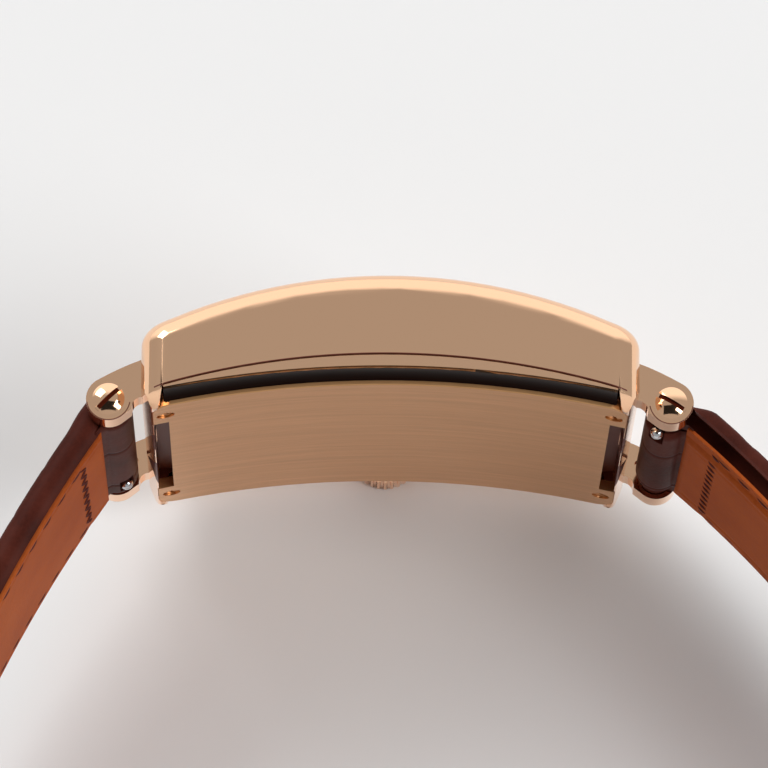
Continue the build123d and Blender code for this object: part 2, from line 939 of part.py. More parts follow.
crystal_outline = (crystal_length, crystal_width, crystal_corner)
seat_outline = (
    crystal_length + 2 * gasket_wall,
    crystal_width + 2 * gasket_wall,
    crystal_corner + gasket_wall,
)
keep(
    "crystal_gasket",
    arched_ring(seat_outline, crystal_outline, ledge_z, ledge_z + gasket_height, ledge_arch),
)
dial_outline = (dial_length, dial_width, dial_corner)
flange_inner = (flange_inner_length, flange_inner_width, flange_inner_corner)
keep("dial_ring", arched_ring(dial_outline, flange_inner, dial_top_z, ceiling_z, dial_arch))

with BuildPart() as dial:
    add(
        arched_block(
            dial_length,
            dial_width,
            dial_corner,
            dial_top_z - dial_thick,
            dial_arch,
            dial_top_z,
            dial_arch,
        )
    )
    for x, y in dial_feet:
        foot_top_z = arc_z(dial_top_z - dial_thick / 2, dial_arch, dial_foot_x)
        peg(dial_foot_radius, dial_foot_low_z, foot_top_z, x, y)
    bore(dial_hole, dial_foot_low_z, top_z)
    bore(seconds_hole, dial_foot_low_z, top_z, *fourth_at)
keep("dial", dial.part)

with BuildPart() as hour_markers:
    with BuildSketch(Plane.XY.offset(dial_top_z - overrun)):
        for hour in range(marker_count):
            turn = 180 - 360 / marker_count * hour
            aim = math.radians(turn)
            reach_x = marker_ring_x / max(abs(math.cos(aim)), clearance)
            reach_y = marker_ring_y / max(abs(math.sin(aim)), clearance)
            if hour != 6:
                with Locations(Location((*polar(min(reach_x, reach_y), turn), 0), (0, 0, turn))):
                    Rectangle(marker_length, marker_width)
    extrude(amount=2 * overrun)
    add(
        arched_block(
            dial_length,
            dial_width,
            dial_corner,
            dial_top_z,
            dial_arch,
            dial_top_z + marker_height,
            dial_arch,
        ),
        mode=Mode.INTERSECT,
    )
keep("hour_markers", hour_markers.part)


def hand(name, at, height, thick, reach, tail, width, hub, hole, clock_turn):
    """Tapered hand with a round hub, pointing at an angle on the clock."""
    turn = 180 - clock_turn
    with BuildPart() as blade:
        with BuildSketch(Plane((at[0], at[1], height))):
            Circle(hub)
            Polygon(
                (-tail, -width / 4),
                (reach * blade_wide_share, -width / 2),
                (reach, 0),
                (reach * blade_wide_share, width / 2),
                (-tail, width / 4),
                rotation=turn,
                align=None,
            )
            Circle(hole, mode=Mode.SUBTRACT)
        extrude(amount=thick)
    keep(name, blade.part)


hand(
    "hour_hand",
    centre_at,
    hour_hand_z,
    hour_hand_thick,
    hour_hand_reach,
    0,
    hour_hand_width,
    hand_hub,
    hour_pipe,
    hour_hand_clock,
)
hand(
    "minute_hand",
    centre_at,
    minute_hand_z,
    minute_hand_thick,
    minute_hand_reach,
    0,
    minute_hand_width,
    hand_hub,
    cannon_pipe,
    minute_hand_clock,
)
hand(
    "seconds_hand",
    fourth_at,
    seconds_hand_z,
    seconds_hand_thick,
    seconds_hand_reach,
    seconds_hand_tail,
    seconds_hand_width,
    seconds_hub,
    fourth_post,
    seconds_hand_clock,
)


# Crown, its seal, the stem and the tube
stem_line = Axis((0, 0, stem_z), (0, 1, 0))
with BuildPart() as crown:
    with BuildSketch(Plane.YZ):
        with BuildLine():
            rim_z = stem_z + crown_radius
            round_y = crown_outer_y - crown_round
            lean = math.radians(45)
            arc_y = round_y + crown_round * math.sin(lean)
            arc_height = rim_z - crown_round + crown_round * math.cos(lean)
            dome_y = crown_outer_y + crown_dome
            Polyline(
                (dome_y, stem_z),
                (crown_inner_y, stem_z),
                (crown_inner_y, rim_z - crown_round / 2),
                (crown_inner_y + crown_round / 2, rim_z),
                (round_y, rim_z),
            )
            ThreePointArc((round_y, rim_z), (arc_y, arc_height), (crown_outer_y, rim_z - crown_round))
            half_height = (crown_radius - crown_round) / 2
            dome_arc = ((2 * half_height) ** 2 + crown_dome**2) / (2 * crown_dome)
            ThreePointArc(
                (crown_outer_y, rim_z - crown_round),
                (dome_y - dome_arc + math.sqrt(dome_arc**2 - half_height**2), stem_z + half_height),
                (dome_y, stem_z),
            )
        make_face()
    revolve(axis=stem_line)
    with BuildSketch(Plane.XZ.offset(-crown_inner_y)):
        with Locations((0, stem_z)):
            with PolarLocations(crown_radius, knurl_count):
                Circle(knurl_radius)
    extrude(amount=crown_inner_y - dome_y, mode=Mode.SUBTRACT)
    recess_end_y = crown_inner_y + crown_recess_depth
    rod(crown_recess, crown_inner_y - clearance, recess_end_y, 0, stem_z, Mode.SUBTRACT)
    rod(stem_radius + thread_gap, crown_inner_y, stem_end_y + clearance, 0, stem_z, Mode.SUBTRACT)
keep("crown", crown.part)

with BuildPart() as crown_seal:
    with BuildSketch(Plane.YZ):
        seal_y = crown_inner_y + crown_recess_depth / 2 - seal_radius
        with Locations((seal_y, stem_z + (tube_radius + crown_recess) / 2)):
            Circle(seal_radius)
    revolve(axis=stem_line)
keep("crown_seal", crown_seal.part)

with BuildPart() as crown_tube:
    rod(tube_radius, tube_inner_y, tube_outer_y, 0, stem_z)
    rod(tube_bore, tube_inner_y, tube_outer_y, 0, stem_z, Mode.SUBTRACT)
keep("crown_tube", crown_tube.part)

with BuildPart() as winding_stem:
    rod(stem_radius, stem_pilot_y, stem_groove_y, 0, stem_z)
    rod(stem_groove_radius, stem_groove_y, stem_groove_y + stem_groove_wide, 0, stem_z)
    rod(stem_radius, stem_groove_y + stem_groove_wide, stem_end_y, 0, stem_z)
    rod(stem_pilot, stem_inner_y, stem_pilot_y, 0, stem_z)
keep("winding_stem", winding_stem.part)

for name, low_y, long, waist in (
    ("winding_pinion", winding_pinion_y, winding_pinion_long, 0),
    ("sliding_pinion", sliding_pinion_y, sliding_pinion_long, sliding_waist_long),
):
    with BuildPart() as pinion:
        with BuildSketch(Plane.XZ.offset(-low_y)):
            with Locations((0, stem_z)):
                Circle(pinion_radius)
                with PolarLocations(pinion_radius, pinion_tooth_count):
                    Rectangle(2 * pinion_tooth_depth, pinion_tooth_depth, mode=Mode.SUBTRACT)
        extrude(amount=-long)
        if waist:
            middle_y = low_y + long / 2
            with BuildSketch(Plane.XZ.offset(-(middle_y - waist / 2))):
                with Locations((0, stem_z)):
                    Circle(pinion_radius + clearance)
                    Circle(sliding_waist, mode=Mode.SUBTRACT)
            extrude(amount=-waist, mode=Mode.SUBTRACT)
        rod(pinion_bore, low_y, low_y + long, 0, stem_z, Mode.SUBTRACT)
    keep(name, pinion.part)

# Movement: spacer, main plate, bridges and their screws
with BuildPart() as movement_ring:
    with BuildSketch(Plane.XY.offset(spacer_low_z)):
        RectangleRounded(spacer_length, spacer_width, spacer_corner)
        Circle(plate_radius + clearance, mode=Mode.SUBTRACT)
        with Locations((0, plate_radius)):
            Rectangle(2 * channel_half, plate_radius / 2, mode=Mode.SUBTRACT)
    extrude(amount=spacer_top_z - spacer_low_z)
keep("movement_ring", movement_ring.part)

with BuildPart() as main_plate:
    peg(plate_radius, plate_low_z, plate_top_z)
    peg(minute_post, plate_top_z, minute_pinion_top_z + clearance, *minute_wheel_at)
    with BuildSketch(Plane.XY.offset(plate_low_z)):
        with Locations((0, (channel_inner_y + plate_radius + clearance) / 2)):
            Rectangle(2 * channel_half, plate_radius + clearance - channel_inner_y)
    extrude(amount=plate_top_z - plate_low_z, mode=Mode.SUBTRACT)
    rod(stem_pilot + running, stem_inner_y - clearance, channel_inner_y, 0, stem_z, Mode.SUBTRACT)
    bore(centre_arbor_radius + running, plate_low_z, plate_top_z)
    bore(fourth_post + running, plate_low_z, plate_top_z, *fourth_at)
    for place in [third_at, escape_at, pallet_at, balance_at]:
        bore(jewel_radius, plate_low_z, plate_low_z + jewel_thick, *place)
    bore(barrel_arbor_radius + running, plate_low_z, plate_top_z, *barrel_at)
    for place in barrel_bridge_feet + train_bridge_feet + [cock_foot_at]:
        bore(bridge_screw_shank + thread_gap, plate_low_z, bridge_screw_end_z + clearance, *place)
    for place in dial_feet:
        bore(dial_foot_radius + thread_gap, plate_low_z, plate_top_z, *place)
keep("main_plate", main_plate.part)

with BuildPart() as barrel_bridge:
    with BuildSketch(Plane.XY.offset(bridge_low_z)):
        Circle(bridge_radius)
        with Locations((barrel_bridge_edge_x, barrel_bridge_edge_y)):
            corner = (Align.MAX, Align.MIN)
            Rectangle(2 * bridge_radius, 2 * bridge_radius, align=corner, mode=Mode.INTERSECT)
    extrude(amount=bridge_top_z - bridge_low_z)
    for place in barrel_bridge_feet:
        peg(pillar_radius, bridge_low_z, plate_low_z, *place)
    for place in barrel_bridge_feet:
        bore(bridge_screw_shank + thread_gap, bridge_low_z, plate_low_z, *place)
    bore(barrel_arbor_radius + running, bridge_low_z, bridge_top_z, *barrel_at)
    peg(winding_post, winding_wheel_low_z, bridge_low_z, *crown_wheel_at)
keep("barrel_bridge", barrel_bridge.part)

with BuildPart() as train_bridge:
    with BuildSketch(Plane.XY.offset(bridge_low_z)):
        Circle(bridge_radius)
        with Locations((barrel_bridge_edge_x + bridge_split, train_bridge_edge_y)):
            corner = (Align.MIN, Align.MIN)
            Rectangle(2 * bridge_radius, 2 * bridge_radius, align=corner, mode=Mode.INTERSECT)
    extrude(amount=bridge_top_z - bridge_low_z)
    for place in train_bridge_feet:
        peg(pillar_radius, bridge_low_z, plate_low_z, *place)
    for place in train_bridge_feet:
        bore(bridge_screw_shank + thread_gap, bridge_low_z, plate_low_z, *place)
    for place in [centre_at] + jewelled:
        bore(jewel_radius, bridge_low_z, bridge_top_z, *place)
keep("train_bridge", train_bridge.part)

with BuildPart() as balance_cock:
    foot_to_staff = math.dist(cock_foot_at, balance_at)
    middle = ((cock_foot_x + balance_x) / 2, (cock_foot_y + balance_y) / 2, cock_low_z)
    with BuildSketch(Plane(middle)):
        SlotCenterToCenter(foot_to_staff, cock_width, rotation=direction(cock_foot_at, balance_at))
    extrude(amount=cock_top_z - cock_low_z)
    peg(pillar_radius + 2 * clearance, cock_low_z, plate_low_z, *cock_foot_at)
    bore(bridge_screw_shank + thread_gap, cock_low_z, plate_low_z, *cock_foot_at)
    bore(jewel_radius, cock_top_z - jewel_thick, cock_top_z, *balance_at)
keep("balance_cock", balance_cock.part)

with BuildPart() as bridge_screws:
    feet = [(place, bridge_low_z) for place in barrel_bridge_feet + train_bridge_feet]
    for place, seat_z in feet + [(cock_foot_at, cock_low_z)]:
        peg(bridge_screw_head, seat_z - bridge_screw_thick, seat_z, *place)
        peg(bridge_screw_shank, seat_z, bridge_screw_end_z, *place)
        with BuildSketch(Plane((place[0], place[1], seat_z - bridge_screw_thick))):
            Rectangle(3 * bridge_screw_head, bridge_slot_width)
        extrude(amount=bridge_slot_depth, mode=Mode.SUBTRACT)
keep("bridge_screws", bridge_screws.part)

with BuildPart() as jewels:
    for place in jewelled + [centre_at]:
        peg(jewel_radius, bridge_low_z, bridge_top_z, *place)
        bore(arbor_pivot + pivot_gap, bridge_low_z, bridge_top_z, *place)
    for place in [third_at, escape_at, pallet_at, balance_at]:
        peg(jewel_radius, plate_low_z, plate_low_z + jewel_thick, *place)
        bore(arbor_pivot + pivot_gap, plate_low_z, plate_low_z + jewel_thick, *place)
    peg(jewel_radius, cock_top_z - jewel_thick, cock_top_z, *balance_at)
    bore(arbor_pivot + pivot_gap, cock_top_z - jewel_thick, cock_top_z, *balance_at)
keep("jewels", jewels.part)


def spiral(name, at, inner, pitch, turns, wall, low_z, high_z):
    """Flat spiral spring drawn as half turns about two alternating centres."""
    with BuildPart() as coil:
        with BuildSketch(Plane((at[0], at[1], low_z))):
            with BuildLine():
                for edge in (-wall / 2, wall / 2):
                    for half_turn in range(2 * turns):
                        middle_x = 0 if half_turn % 2 == 0 else pitch / 2
                        radius = inner + half_turn * pitch / 2 + edge
                        sign = 1 if half_turn % 2 == 0 else -1
                        ThreePointArc(
                            (middle_x + sign * radius, 0),
                            (middle_x, sign * radius),
                            (middle_x - sign * radius, 0),
                        )
                for at_x in (inner, inner + turns * pitch):
                    Line((at_x - wall / 2, 0), (at_x + wall / 2, 0))
            make_face()
        extrude(amount=high_z - low_z)
    keep(name, coil.part)


# Going train
centre_phase = direction(centre_at, third_at)
third_phase = mate_phase(centre_phase, centre_teeth, third_pinion_teeth, centre_phase)
to_fourth = direction(third_at, fourth_at)
fourth_phase = mate_phase(to_fourth, third_teeth, fourth_pinion_teeth, to_fourth)
escape_phase = mate_phase(escape_direction, fourth_teeth, escape_pinion_teeth, escape_direction)
barrel_mesh = barrel_direction + 180
centre_pinion_phase = mate_phase(barrel_mesh, barrel_teeth, centre_pinion_teeth, barrel_mesh)

with BuildPart() as barrel:
    gear(barrel_teeth, barrel_module, barrel_mesh, barrel_low_z, barrel_gear_top_z, barrel_at)
    peg(drum_radius, barrel_low_z, barrel_top_z, *barrel_at)
    bore(drum_radius - drum_wall, barrel_low_z + drum_floor, barrel_top_z, *barrel_at)
    bore(barrel_arbor_radius + running, barrel_low_z, barrel_top_z, *barrel_at)
keep("barrel", barrel.part)
spiral(
    "mainspring",
    barrel_at,
    mainspring_inner,
    mainspring_pitch,
    mainspring_turns,
    mainspring_wall,
    barrel_low_z + drum_floor + spring_gap,
    barrel_top_z - spring_gap,
)
with BuildPart() as barrel_arbor:
    peg(barrel_arbor_radius, winding_wheel_top_z, plate_top_z - clearance, *barrel_at)
keep("barrel_arbor", barrel_arbor.part)

with BuildPart() as centre_wheel:
    gear(centre_teeth, centre_module, centre_phase, centre_low_z, centre_top_z, centre_at, crossing_count)
    gear(
        centre_pinion_teeth, barrel_module, centre_pinion_phase, barrel_low_z, centre_low_z, centre_at
    )
    peg(arbor_pivot, bridge_low_z, centre_low_z)
    peg(arbor_radius, arbor_low_z, centre_low_z)
    peg(centre_arbor_radius, centre_top_z, minute_hand_z)
keep("centre_wheel", centre_wheel.part)

with BuildPart() as third_wheel:
    gear(third_teeth, third_module, to_fourth, third_low_z, third_top_z, third_at, crossing_count)
    gear(
        third_pinion_teeth, centre_module, third_phase, centre_low_z - running, centre_top_z, third_at
    )
    arbor(third_at, bridge_low_z, plate_low_z + jewel_thick)
keep("third_wheel", third_wheel.part)

with BuildPart() as fourth_wheel:
    gear(fourth_teeth, fourth_module, escape_direction, fourth_low_z, fourth_top_z, fourth_at, crossing_count)
    gear(
        fourth_pinion_teeth, third_module, fourth_phase, third_low_z - running, third_top_z, fourth_at
    )
    arbor(fourth_at, bridge_low_z, plate_low_z)
    peg(fourth_post, arbor_top_z, seconds_hand_z + seconds_hand_thick, *fourth_at)
keep("fourth_wheel", fourth_wheel.part)

with BuildPart() as escape_wheel:
    with BuildSketch(Plane((escape_at[0], escape_at[1], escape_low_z))):
        Circle(escape_root)
        with PolarLocations(0, escape_tooth_count, start_angle=escape_to_balance + escape_tooth_turn):
            Polygon(
                (escape_root * escape_hook_share, -escape_tooth_wide),
                (escape_radius, 0),
                (escape_radius * escape_hook_share, escape_tooth_wide / 2),
                (escape_root * escape_hook_share, escape_tooth_wide),
                align=None,
            )
        Circle(escape_rim, mode=Mode.SUBTRACT)
        for turn in (0, 90):
            Rectangle(2 * escape_root * escape_hook_share, escape_tooth_wide, rotation=turn)
    extrude(amount=escape_top_z - escape_low_z)
    gear(
        escape_pinion_teeth,
        fourth_module,
        escape_phase,
        fourth_low_z - running,
        fourth_top_z + running,
        escape_at,
    )
    arbor(escape_at, bridge_low_z, plate_low_z + jewel_thick)
keep("escape_wheel", escape_wheel.part)

# Escapement: pallet fork, balance and hairspring
with BuildPart() as pallet_fork:
    fork_reach = math.dist(pallet_at, balance_at) - roller_radius - fork_gap
    towards_balance = Vector(1, 0, 0).rotate(Axis.Z, escape_to_balance)
    with BuildSketch(Plane((pallet_at[0], pallet_at[1], escape_low_z), x_dir=towards_balance)):
        with Locations((fork_reach / 2, 0)):
            Rectangle(fork_reach, fork_width)
        with Locations((fork_reach, 0)):
            Rectangle(fork_width, 3 * fork_width)
        Rectangle(fork_width, 2 * pallet_arm)
        for sign in (-1, 1):
            with Locations((-pallet_stone / 2, sign * (pallet_arm - pallet_stone / 2))):
                Rectangle(2 * pallet_stone, pallet_stone)
    extrude(amount=escape_top_z - escape_low_z)
    arbor(pallet_at, bridge_low_z, plate_low_z + jewel_thick)
keep("pallet_fork", pallet_fork.part)

with BuildPart() as balance_wheel:
    with BuildSketch(Plane((balance_x, balance_y, balance_low_z))):
        Circle(balance_radius)
        Circle(balance_radius - balance_rim, mode=Mode.SUBTRACT)
        with PolarLocations(0, balance_arm_count):
            Rectangle(
                balance_radius - balance_rim / 2, balance_arm, align=(Align.MIN, Align.CENTER)
            )
        Circle(2 * balance_arm)
    extrude(amount=balance_top_z - balance_low_z)
    peg(arbor_radius, cock_top_z + clearance, roller_top_z, *balance_at)
    peg(roller_radius, roller_low_z, roller_top_z, *balance_at)
    peg(collet_radius, hairspring_low_z, hairspring_top_z, *balance_at)
    peg(arbor_pivot, cock_top_z - jewel_thick, plate_low_z + jewel_thick, *balance_at)
keep("balance_wheel", balance_wheel.part)
spiral(
    "hairspring",
    balance_at,
    hairspring_inner,
    hairspring_pitch,
    hairspring_turns,
    hairspring_wall,
    hairspring_low_z,
    hairspring_top_z,
)

# Winding wheels outside the barrel bridge
to_crown_wheel = crown_wheel_direction
for name, teeth, place, hole, phase in (
    ("ratchet_wheel", winding_teeth_ratchet, barrel_at, 0, to_crown_wheel),
    (
        "crown_wheel",
        winding_teeth_crown,
        crown_wheel_at,
        winding_post + running,
        mate_phase(to_crown_wheel, winding_teeth_ratchet, winding_teeth_crown, to_crown_wheel),
    ),
):
    with BuildPart() as winding_wheel:
        gear(teeth, winding_module, phase, winding_wheel_low_z, winding_wheel_top_z, place)
        if hole:
            bore(hole, winding_wheel_low_z, winding_wheel_top_z, *place)
    keep(name, winding_wheel.part)

# Motion works under the dial
minute_phase = mate_phase(minute_wheel_direction, cannon_teeth, minute_wheel_teeth, minute_wheel_direction)
with BuildPart() as cannon_pinion:
    gear(cannon_teeth, motion_module, minute_wheel_direction, cannon_low_z, cannon_gear_top_z, centre_at)
    peg(cannon_pipe, cannon_low_z, minute_hand_z + minute_hand_thick)
    bore(cannon_bore, cannon_low_z, minute_hand_z)
keep("cannon_pinion", cannon_pinion.part)

with BuildPart() as minute_wheel:
    gear(
        minute_wheel_teeth,
        motion_module,
        minute_phase,
        minute_wheel_low_z,
        minute_wheel_top_z,
        minute_wheel_at,
    )
    gear(
        minute_pinion_teeth,
        motion_module,
        minute_wheel_direction + 180,
        minute_wheel_top_z,
        minute_pinion_top_z,
        minute_wheel_at,
    )
    bore(minute_post + running, minute_wheel_low_z, minute_pinion_top_z, *minute_wheel_at)
keep("minute_wheel", minute_wheel.part)

hour_phase = mate_phase(
    minute_wheel_direction + 180, minute_pinion_teeth, hour_teeth, minute_wheel_direction + 180
)
with BuildPart() as hour_wheel:
    gear(hour_teeth, motion_module, hour_phase, hour_wheel_low_z, hour_wheel_top_z, centre_at)
    peg(hour_pipe, hour_wheel_low_z, hour_hand_z + hour_hand_thick)
    bore(hour_pipe_bore, hour_wheel_low_z, hour_hand_z + hour_hand_thick)
keep("hour_wheel", hour_wheel.part)

# Strap halves: side, heading at the lug, heading at the end, length and rise of the middle line
half_12 = (-1, strap_start_12, strap_end_12, strap_length_12, strap_rise_12)
half_6 = (1, strap_start_6, strap_end_6, strap_length_6, strap_rise_6)


def strap_point(half, along, out):
    """Point of a strap half in side view: along its line and out from it."""
    side, start, end, length, rise = half
    radius = length / math.radians(end - start)
    heading = math.radians(start) + along / radius
    middle_x = lug_axis_x - radius * math.sin(math.radians(start))
    middle_z = -radius * math.cos(math.radians(start))
    reach = radius + out
    return (side * (middle_x + reach * math.sin(heading)), middle_z + reach * math.cos(heading))


def strap_directions(half, along):
    """Unit directions along a strap half and out of its face, at a place along it."""
    side, start, end, length, rise = half
    heading = math.radians(start + (end - start) * along / length)
    ahead = (side * math.cos(heading), 0, -math.sin(heading))
    outward = (side * math.sin(heading), 0, math.cos(heading))
    return ahead, outward


def band(half, start, low, high):
    """Strip of a strap half between two arcs, as wide as the strap, as a part of its own."""
    length = half[3]
    middle = (start + length) / 2
    with BuildPart() as strip:
        with BuildSketch(Plane.XZ):
            with BuildLine():
                ThreePointArc(*[strap_point(half, at, high) for at in (start, middle, length)])
                ThreePointArc(*[strap_point(half, at, low) for at in (start, middle, length)])
                for at in (start, length):
                    Line(strap_point(half, at, low), strap_point(half, at, high))
            make_face()
        extrude(amount=strap_half, both=True)
    return strip.part


def strap_width_at(half, along):
    """Half width of the tapered strap at a place along it."""
    end_z = strap_point(half, half[3], 0)[1]
    place_z = strap_point(half, along, 0)[1]
    share = (place_z - strap_shoulder_z) / (end_z - strap_shoulder_z)
    return strap_half + (strap_tip_half - strap_half) * min(max(share, 0), 1)


def strap_outline(half, inset, rounded):
    """Tapered outline of a strap half seen along X, drawn as a tool to intersect with."""
    end_z = strap_point(half, half[3], half[4])[1]
    wide = strap_half - inset
    narrow = strap_tip_half - inset
    with BuildPart() as outline:
        with BuildSketch(Plane.YZ):
            with BuildLine():
                if rounded:
                    foot_z = end_z + tip_rise
                    ThreePointArc((narrow, foot_z), (0, end_z + inset + clearance), (-narrow, foot_z))
                else:
                    foot_z = end_z - 2 * loop_radius
                    Line((narrow, foot_z), (-narrow, foot_z))
                Polyline(
                    (-narrow, foot_z),
                    (-wide, strap_shoulder_z),
                    (-wide, overrun),
                    (wide, overrun),
                    (wide, strap_shoulder_z),
                    (narrow, foot_z),
                )
            make_face()
        extrude(amount=2 * strap_length_6, both=True)
    return outline.part


adjust_holes = [
    strap_length_6 - adjust_hole_from_tip - adjust_hole_pitch * count
    for count in range(adjust_hole_count)
]
buckle_at = strap_point(half_12, strap_length_12, strap_rise_12)
buckle_ahead, buckle_out = strap_directions(half_12, strap_length_12)


def cut_adjust_holes():
    """Round holes along the middle of the long half, cut from the part being built."""
    for along in adjust_holes:
        x, z = strap_point(half_6, along, strap_rise_6)
        with Locations(Plane(origin=(x, 0, z), z_dir=strap_directions(half_6, along)[1])):
            Cylinder(adjust_hole_radius, 2 * strap_thick, mode=Mode.SUBTRACT)


def cut_tongue_slot():
    """Slot at the end of the short half where the buckle's tongue swings."""
    x, z = strap_point(half_12, strap_length_12 - (tongue_slot_long - loop_radius) / 2, strap_rise_12)
    with Locations(Plane(origin=(x, 0, z), x_dir=buckle_ahead, z_dir=buckle_out)):
        slot_long = tongue_slot_long + loop_radius
        Box(slot_long, tongue_slot, 2 * strap_thick, mode=Mode.SUBTRACT)


def release_plane(half, lean, y):
    """Plane through the bar's line, facing the way the quick-release knob stands."""
    turn = math.radians(lean)
    out = (-half[0] * math.sin(turn), 0, -math.cos(turn))
    return Plane(origin=(half[0] * lug_axis_x, y, 0), x_dir=(0, 1, 0), z_dir=out)


for name, half, lean, knob_hand in (
    ("12", half_12, release_lean_12, 1),
    ("6", half_6, release_lean_6, -1),
):
    side, start, end, length, rise = half
    bar_x = side * lug_axis_x
    slot_y = knob_hand * (release_y - release_travel / 2)
    with BuildPart() as leather:
        add(band(half, 0, rise - strap_thick / 2 + lining_thick, rise + strap_thick / 2))
        rod(loop_radius, -strap_half, strap_half, bar_x)
        if side < 0:
            rod(buckle_loop, -strap_half, strap_half, *buckle_at)
            rod(buckle_bar_radius + running, -strap_half, strap_half, *buckle_at, Mode.SUBTRACT)
        rod(bar_radius + thread_gap, -strap_half, strap_half, bar_x, 0, Mode.SUBTRACT)
        add(strap_outline(half, 0, side > 0), mode=Mode.INTERSECT)
        with BuildSketch(release_plane(half, lean, slot_y)):
            Rectangle(release_slot_long, release_slot_wide)
        extrude(amount=2 * loop_radius, mode=Mode.SUBTRACT)
        if side > 0:
            cut_adjust_holes()
        else:
            cut_tongue_slot()
    keep(f"strap_{name}_leather", leather.part)

    with BuildPart() as lining:
        low = rise - strap_thick / 2
        add(band(half, lining_start, low, low + lining_thick))
        if side < 0:
            rod(buckle_loop + clearance, -strap_half, strap_half, *buckle_at, Mode.SUBTRACT)
        add(strap_outline(half, lining_inset, side > 0), mode=Mode.INTERSECT)
        if side > 0:
            cut_adjust_holes()
        else:
            cut_tongue_slot()
    keep(f"strap_{name}_lining", lining.part)

    with BuildPart() as spring_bar:
        rod(bar_radius, -bar_half, bar_half, bar_x)
        rod(pivot_radius, -knob_hand * bar_half, -knob_hand * (bar_half + pivot_reach + bar_end_gap), bar_x)
        bore_end = knob_hand * (bar_half - release_rod_long - 2 * release_travel)
        rod(bar_bore, knob_hand * bar_half, bore_end, bar_x, 0, Mode.SUBTRACT)
        with BuildSketch(release_plane(half, lean, slot_y)):
            Rectangle(release_travel + 3 * release_post, 3 * release_post)
        extrude(amount=2 * bar_radius, mode=Mode.SUBTRACT)
    keep(f"spring_bar_{name}", spring_bar.part)

    with BuildPart() as release_pin:
        rod_start = bar_half - 2 * clearance
        rod(release_rod, knob_hand * rod_start, knob_hand * (rod_start - release_rod_long), bar_x)
        rod(pivot_radius, knob_hand * rod_start, knob_hand * (bar_half + pivot_reach + bar_end_gap), bar_x)
        knob_plane = release_plane(half, lean, knob_hand * release_y)
        with BuildSketch(knob_plane):
            Circle(release_post)
        extrude(amount=release_out)
        with Locations(knob_plane.offset(release_out)):
            Sphere(release_ball)
    keep(f"release_pin_{name}", release_pin.part)

# Keepers: one sewn in place, one free to slide
for name, along in (("fixed_keeper", fixed_keeper_at), ("free_keeper", free_keeper_at)):
    ahead, outward = strap_directions(half_12, along)
    x, z = strap_point(half_12, along, strap_rise_12)
    inner_wide = 2 * (strap_width_at(half_12, along) + keeper_gap)
    inner_high = 2 * strap_thick + 3 * keeper_gap
    with BuildPart() as keeper:
        with BuildSketch(Plane(origin=(x, 0, z), x_dir=(0, 1, 0), z_dir=ahead)):
            with Locations((0, -(inner_high - strap_thick) / 2 + keeper_gap)):
                RectangleRounded(inner_wide + 2 * keeper_wall, inner_high + 2 * keeper_wall, keeper_corner)
                Rectangle(inner_wide, inner_high, mode=Mode.SUBTRACT)
        extrude(amount=keeper_long / 2, both=True)
    keep(name, keeper.part)

# Buckle frame, bar and tongue
buckle_plane = Plane(origin=(buckle_at[0], 0, buckle_at[1]), x_dir=buckle_ahead, z_dir=buckle_out)
bar_reach = buckle_outer_half - buckle_bar_end
with BuildPart() as buckle_frame:
    with BuildSketch(buckle_plane):
        with Locations(((buckle_front - buckle_tail) / 2, 0)):
            RectangleRounded(buckle_front + buckle_tail, 2 * buckle_outer_half, buckle_corner)
        with Locations((0, 0)):
            inner_half = buckle_outer_half - buckle_arm
            Rectangle(2 * (buckle_front - buckle_front_bar), 2 * inner_half, mode=Mode.SUBTRACT)
    extrude(amount=buckle_thick / 2, both=True)
    outer_face = buckle_frame.faces().sort_by(Axis((0, 0, 0), buckle_out))[-1]
    fillet(outer_face.edges(), radius=buckle_round)
    rod(buckle_bar_radius + thread_gap, -bar_reach, bar_reach, *buckle_at, Mode.SUBTRACT)
keep("buckle_frame", buckle_frame.part)

with BuildPart() as buckle_bar:
    rod(buckle_bar_radius, clearance - bar_reach, bar_reach - clearance, *buckle_at)
keep("buckle_bar", buckle_bar.part)

with BuildPart() as buckle_tongue:
    tongue_low = buckle_thick / 2 + tongue_gap
    tongue_high = tongue_low + tongue_thick
    ring_corner = tongue_ring * math.cos(math.radians(45))
    tongue_plane = Plane(origin=buckle_plane.origin, x_dir=buckle_ahead, z_dir=(0, 1, 0))
    with BuildSketch(tongue_plane):
        rise = tongue_plane.to_local_coords(buckle_plane.origin + Vector(*buckle_out)).Y
        Circle(tongue_ring)
        Polygon(
            (-ring_corner, rise * ring_corner),
            (2 * tongue_ring - tongue_thick, rise * tongue_high),
            (tongue_tip - tongue_thick / 2, rise * tongue_high),
            (tongue_tip, rise * (tongue_high - tongue_thick / 3)),
            (tongue_tip, rise * (tongue_low + tongue_thick / 3)),
            (tongue_tip - tongue_thick / 2, rise * tongue_low),
            (2 * tongue_ring, rise * tongue_low),
            (tongue_ring, 0),
            align=None,
        )
        Circle(buckle_bar_radius + running, mode=Mode.SUBTRACT)
    extrude(amount=tongue_width / 2, both=True)
keep("buckle_tongue", buckle_tongue.part)

